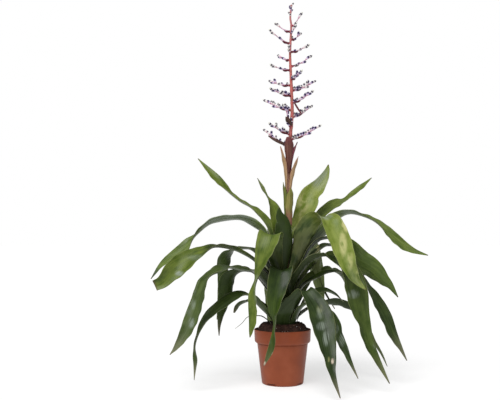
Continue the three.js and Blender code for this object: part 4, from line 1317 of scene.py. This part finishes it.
def new_finish(name, base, roughness, shine):
    """A material whose base colour and roughness are stand-ins until something feeds them."""
    material = bpy.data.materials.new(name)
    material.use_nodes = True
    tree = material.node_tree
    body = tree.nodes["Principled BSDF"]
    body.inputs["Base Color"].default_value = (*base, 1)
    body.inputs["Roughness"].default_value = roughness
    body.inputs["Specular IOR Level"].default_value = shine
    return material, tree, body


def bumped(tree, body, height, strength, distance):
    bump = put(tree, "ShaderNodeBump", {
        "Height": height, "Strength": strength, "Distance": distance})
    tree.links.new(bump.outputs["Normal"], body.inputs["Normal"])


def use(tree, effect, **values):
    """Places a shared effect in a material."""
    node = tree.nodes.new("ShaderNodeGroup")
    node.node_tree = EFFECTS[effect]
    for key, value in values.items():
        node.inputs[key].default_value = value
    return node.outputs


def leaf_finish():
    """Leathery green: toned, mottled yellow, waxy grey with painted sheen, or withered where the
    leaf's marks say.
    """
    material, tree, body = new_finish("leaf", (0.098, 0.195, 0.025), 0.5, 0.22)
    strands = use(tree, "strands")
    tone = math_of(tree, "MULTIPLY_ADD", attribute(tree, "tone"), 0.4, 0.5)
    lines = math_of(tree, "MULTIPLY_ADD", strands["Lines"], 0.22, -0.11)
    bands = math_of(tree, "MULTIPLY_ADD", strands["Bands"], 0.3, -0.15)
    tone = math_of(tree, "ADD", math_of(tree, "ADD", tone, lines), bands)
    tone = math_of(tree, "SUBTRACT", tone, 0.2)
    tone = math_of(tree, "MULTIPLY_ADD", strands["Blotches"], 0.4, tone)
    green = ramp(tree, tone, [
        (0.0, (0.007, 0.013, 0.003)), (0.2, (0.017, 0.033, 0.005)), (0.45, (0.050, 0.083, 0.008)),
        (0.7, (0.135, 0.190, 0.014)), (1.0, (0.27, 0.33, 0.050))])

    parts = put(tree, "ShaderNodeSeparateXYZ", {"Vector": attribute(tree, "run", "Vector")}).outputs
    under = math_of(tree, "SUBTRACT", 1.0, parts["Z"])
    colour = mixed(tree, math_of(tree, "MULTIPLY", under, 0.35), green, (0.046, 0.074, 0.014))
    patchy = ranged(tree, strands["Blotches"], 0.35, 0.62)
    mottled = ranged(tree, strands["Blotches"], 0.34, 0.56)
    yellow = math_of(tree, "MULTIPLY", attribute(tree, "yellow"), mottled)
    colour = mixed(tree, yellow, colour, (0.43, 0.42, 0.17))
    # Waxy grey bloom with painted sheen, in streaks where the leaf's marks and looks put it
    wax_and_sheen_streaks = math_of(tree, "MULTIPLY", ranged(tree, strands["Bands"], 0.40, 0.56), 0.6)
    wax_and_sheen_streaks = math_of(tree, "MULTIPLY_ADD", ranged(tree, strands["Lines"], 0.4, 0.6), 0.25, wax_and_sheen_streaks)
    wax_and_sheen_streaks = math_of(tree, "MULTIPLY_ADD", patchy, 0.15, wax_and_sheen_streaks)
    wax = math_of(tree, "MULTIPLY", attribute(tree, "wax"), wax_and_sheen_streaks)
    colour = mixed(tree, wax, colour, (0.25, 0.29, 0.24))
    straw = mixed(tree, strands["Lines"], (0.26, 0.16, 0.08), (0.72, 0.66, 0.55))
    colour = mixed(tree, attribute(tree, "dry"), colour, straw)

    away, along = across_and_along(tree)
    colour = mixed(tree, ranged(tree, away, 0.482, 0.498, 0.0, 0.5), colour, (0.33, 0.33, 0.16))
    colour = mixed(tree, ranged(tree, along, 0.985, 1.0, 0.0, 0.7), colour, (0.09, 0.06, 0.03))
    tree.links.new(colour, body.inputs["Base Color"])
    rough = ranged(tree, strands["Blotches"], 0.2, 0.8, 0.30, 0.46)
    tree.links.new(rough, body.inputs["Roughness"])
    bumped(tree, body, math_of(tree, "ADD", strands["Lines"], strands["Bands"]), 0.25, 0.0004)
    return material


def stem_finish():
    """Coral above, with a purplish tan below that is mottled, and pinker again at the foot."""
    material, tree, body = new_finish("flower stem", (0.485, 0.114, 0.102), 0.45, 0.3)
    clouds = use(tree, "clouds", Scale=90.0)
    place = put(tree, "ShaderNodeTexCoord").outputs["Object"]
    height = put(tree, "ShaderNodeSeparateXYZ", {"Vector": place}).outputs["Z"]
    share = put(tree, "ShaderNodeMapRange", {
        "Value": height, "From Min": 0.12, "From Max": 0.82}).outputs[0]
    share = math_of(tree, "SUBTRACT", share, 0.04)
    share = math_of(tree, "MULTIPLY_ADD", clouds["Clouds"], 0.08, share)
    colour = ramp(tree, share, [
        (0.0, (0.15, 0.08, 0.04)), (0.3, (0.20, 0.09, 0.06)), (0.45, (0.22, 0.11, 0.07)),
        (0.58, (0.42, 0.11, 0.10)), (0.8, (0.49, 0.12, 0.105)), (1.0, (0.42, 0.16, 0.17))])
    spots = ranged(tree, clouds["Clouds"], 0.52, 0.68, 0.0, 0.5)
    colour = mixed(tree, spots, colour, (0.22, 0.14, 0.07))
    flecks = ranged(tree, clouds["Grain"], 0.55, 0.75, 0.0, 0.35)
    colour = mixed(tree, flecks, colour, (0.6, 0.33, 0.3))
    tree.links.new(colour, body.inputs["Base Color"])
    bumped(tree, body, clouds["Grain"], 0.2, 0.0003)
    return material


def stalk_finish():
    """A spray's stalk: dark red with crimson flecks at its foot, and pale lilac-pink beyond."""
    material, tree, body = new_finish("spray stalk", (0.30, 0.03, 0.06), 0.45, 0.3)
    clouds = use(tree, "clouds", Scale=160.0)
    colour = ramp(tree, clouds["Clouds"], [
        (0.3, (0.08, 0.009, 0.018)), (0.5, (0.20, 0.018, 0.038)), (0.68, (0.42, 0.06, 0.10))])
    outer = ramp(tree, clouds["Clouds"], [(0.35, (0.36, 0.14, 0.24)), (0.6, (0.62, 0.46, 0.56))])
    colour = mixed(tree, ranged(tree, attribute(tree, "share"), 0.28, 0.5), colour, outer)
    tree.links.new(colour, body.inputs["Base Color"])
    return material


def floret_finish():
    """A floret from its crimson foot, past lilac and navy, to its pale tip, or paler once older."""
    material, tree, body = new_finish("florets", (0.223, 0.014, 0.042), 0.45, 0.3)
    clouds = use(tree, "clouds", Scale=420.0)
    share = attribute(tree, "share")
    share = math_of(tree, "SUBTRACT", share, 0.07)
    share = math_of(tree, "MULTIPLY_ADD", clouds["Clouds"], 0.14, share)
    young = ramp(tree, share, [
        (0.0, (0.38, 0.04, 0.09)), (0.07, (0.54, 0.20, 0.32)), (0.18, (0.66, 0.52, 0.62)),
        (0.4, (0.50, 0.40, 0.60)), (0.51, (0.045, 0.024, 0.13)), (0.64, (0.016, 0.010, 0.045)),
        (0.77, (0.028, 0.014, 0.08)), (0.85, (0.50, 0.46, 0.58)), (1.0, (0.80, 0.79, 0.72))])
    pale = ramp(tree, share, [
        (0.0, (0.48, 0.12, 0.20)), (0.12, (0.70, 0.44, 0.50)), (0.3, (0.76, 0.72, 0.70)),
        (0.5, (0.62, 0.58, 0.58)), (0.58, (0.04, 0.03, 0.06)), (0.74, (0.06, 0.045, 0.08)),
        (0.82, (0.62, 0.61, 0.55)), (1.0, (0.80, 0.79, 0.70))])
    colour = mixed(tree, ranged(tree, attribute(tree, "age"), 0.40, 0.44), young, pale)
    tree.links.new(colour, body.inputs["Base Color"])
    return material


def papery_finish(name, dark, middle, light, edge, foot=None):
    """A bract: three colours streaked lengthwise, one at its tip and edges and one at its foot."""
    material, tree, body = new_finish(name, middle, 0.55, 0.25)
    strands = use(tree, "strands")
    value = math_of(tree, "MULTIPLY", strands["Blotches"], 0.4)
    value = math_of(tree, "MULTIPLY_ADD", strands["Bands"], 0.6, value)
    colour = ramp(tree, value, [(0.36, dark), (0.5, middle), (0.64, light)])
    away, along = across_and_along(tree)
    rim = math_of(tree, "MAXIMUM", ranged(tree, away, 0.36, 0.5), ranged(tree, along, 0.72, 1.0))
    rim = math_of(tree, "MULTIPLY", rim, ranged(tree, strands["Lines"], 0.2, 0.7, 0.4, 0.9))
    colour = mixed(tree, rim, colour, edge)
    if foot:
        low = math_of(tree, "MULTIPLY_ADD", strands["Bands"], -0.4, along)
        colour = mixed(tree, ranged(tree, low, 0.0, 0.3, 0.85, 0.0), colour, foot)
    tree.links.new(colour, body.inputs["Base Color"])
    bumped(tree, body, strands["Lines"], 0.3, 0.0003)
    return material


def pot_finish():
    """Terracotta-coloured moulded plastic with a faint dusty bloom."""
    material, tree, body = new_finish("terracotta plastic", (0.376, 0.091, 0.045), 0.5, 0.3)
    clouds = use(tree, "clouds", Scale=28.0)
    colour = ramp(tree, clouds["Clouds"], [
        (0.3, (0.215, 0.044, 0.014)), (0.5, (0.245, 0.052, 0.016)), (0.7, (0.28, 0.066, 0.025))])
    tree.links.new(colour, body.inputs["Base Color"])
    tree.links.new(ranged(tree, clouds["Clouds"], 0.3, 0.7, 0.4, 0.52), body.inputs["Roughness"])
    bumped(tree, body, clouds["Grain"], 0.08, 0.0003)
    return material


def grainy_finish(name, scale, dark, middle, light, roughness):
    """A rough, grainy thing in three colours."""
    material, tree, body = new_finish(name, middle, roughness, 0.2)
    clouds = use(tree, "clouds", Scale=scale)
    value = math_of(tree, "MULTIPLY", clouds["Clouds"], 0.5)
    value = math_of(tree, "MULTIPLY_ADD", clouds["Grain"], 0.5, value)
    colour = ramp(tree, value, [(0.38, dark), (0.5, middle), (0.64, light)])
    tree.links.new(colour, body.inputs["Base Color"])
    bumped(tree, body, clouds["Grain"], 0.6, 0.0006)
    return material


# Each grainy finish's scale, its dark, middle and light colour, and its roughness
GRAINY = {
    "soil": (120.0, (0.014, 0.007, 0.005), (0.038, 0.017, 0.013), (0.09, 0.045, 0.03), 0.9),
    "soil crumbs": (260.0, (0.018, 0.009, 0.007), (0.05, 0.023, 0.017), (0.13, 0.07, 0.045), 0.9),
    "perlite": (400.0, (0.55, 0.52, 0.46), (0.72, 0.70, 0.65), (0.82, 0.81, 0.78), 0.9),
    "fibres": (500.0, (0.10, 0.05, 0.03), (0.19, 0.11, 0.065), (0.33, 0.22, 0.14), 0.9),
    "crown": (200.0, (0.09, 0.07, 0.03), (0.147, 0.144, 0.045), (0.24, 0.21, 0.10), 0.8),
}

# Each bract's dark, middle, light and edge colour, and the colour of its foot where that differs
PAPERY = {
    "spray bract": (
        (0.05, 0.007, 0.012), (0.12, 0.012, 0.022), (0.26, 0.03, 0.045), (0.10, 0.03, 0.03)),
    "brown spray bract": (
        (0.03, 0.017, 0.012), (0.065, 0.032, 0.024), (0.15, 0.065, 0.048), (0.09, 0.035, 0.03)),
    "bract_green": (
        (0.06, 0.075, 0.014), (0.13, 0.15, 0.028), (0.22, 0.20, 0.06), (0.10, 0.11, 0.02)),
    "bract_olive": (
        (0.10, 0.09, 0.02), (0.19, 0.18, 0.04), (0.29, 0.24, 0.08), (0.16, 0.17, 0.03),
        (0.24, 0.105, 0.075)),
    "bract_tan_right": (
        (0.22, 0.13, 0.06), (0.38, 0.23, 0.11), (0.50, 0.34, 0.20), (0.36, 0.17, 0.12)),
    "bract_tan_left": (
        (0.20, 0.14, 0.06), (0.36, 0.22, 0.11), (0.48, 0.33, 0.20), (0.34, 0.16, 0.12)),
    "bract_front": (
        (0.06, 0.016, 0.016), (0.115, 0.042, 0.030), (0.19, 0.08, 0.06), (0.16, 0.035, 0.045)),
    "bract_behind": (
        (0.05, 0.008, 0.014), (0.11, 0.014, 0.026), (0.48, 0.11, 0.15), (0.08, 0.02, 0.02)),
}


# Stage: the floor, the light and the camera


def set_stage():
    """A white floor that runs out of sight, a pale room all round and one broad soft lamp."""
    made = bmesh.new()
    bmesh.ops.create_grid(made, x_segments=1, y_segments=1, size=FLOOR_HALF)
    mesh = mesh_of("floor", made)
    floor = add_object(mesh)
    material, _, body = new_finish("floor", FLOOR_ALBEDO, 0.9, 0.0)
    body.inputs["Emission Color"].default_value = WHITE
    body.inputs["Emission Strength"].default_value = FLOOR_GLOW
    mesh.materials.append(material)

    world = bpy.data.worlds.new("studio")
    world.use_nodes = True
    tree = world.node_tree
    paper = tree.nodes["Background"]
    paper.inputs["Color"].default_value = WHITE
    paper.inputs["Strength"].default_value = PAPER_LIGHT
    room = put(tree, "ShaderNodeBackground", {"Color": WHITE, "Strength": ROOM_LIGHT})
    seen = put(tree, "ShaderNodeLightPath").outputs["Is Camera Ray"]
    both = put(tree, "ShaderNodeMixShader", {0: seen, 1: room.outputs[0], 2: paper.outputs[0]})
    tree.links.new(both.outputs[0], tree.nodes["World Output"].inputs["Surface"])
    bpy.context.scene.world = world
    light = bpy.data.lights.new("softbox", "SUN")
    light.energy, light.angle = LAMP_STRENGTH, LAMP_ANGLE
    lamp = bpy.data.objects.new("softbox", light)
    bpy.context.scene.collection.objects.link(lamp)
    lamp.rotation_euler = Vector(LAMP_HEADING).to_track_quat("-Z", "Y").to_euler()
    bpy.context.scene.view_settings.view_transform = "Standard"


def set_camera():
    """The photograph's viewpoint."""
    camera = bpy.data.cameras.new("camera")
    camera.lens, camera.sensor_width = LENS, SENSOR
    camera.clip_start, camera.clip_end = CLIP_RANGE
    eye, aim = Vector(CAMERA_EYE), Vector(CAMERA_AIM)
    viewer = bpy.data.objects.new("camera", camera)
    bpy.context.scene.collection.objects.link(viewer)
    viewer.location = eye
    viewer.rotation_euler = (aim - eye).to_track_quat("-Z", "Y").to_euler()
    bpy.context.scene.camera = viewer


TREES = {"stalk": stalk_tree(), "floret": floret_tree(), "strew": scatter_tree()}
EFFECTS = {"strands": strand_effect(), "clouds": cloud_effect()}
FLORET = make_floret()
FINISHES = {
    "pot": pot_finish(), "leaf": leaf_finish(), "stem": stem_finish(), "stalk": stalk_finish(),
    "floret": floret_finish(),
}
FINISHES.update((name, grainy_finish(name, *values)) for name, values in GRAINY.items())
FINISHES.update((name, papery_finish(name, *colours)) for name, colours in PAPERY.items())

make_pot()
make_soil()
make_crown()
make_stem()
make_sprays()
make_bracts()
for number, row in enumerate(LEAVES, 1):
    make_leaf(number, row)
set_stage()
set_camera()
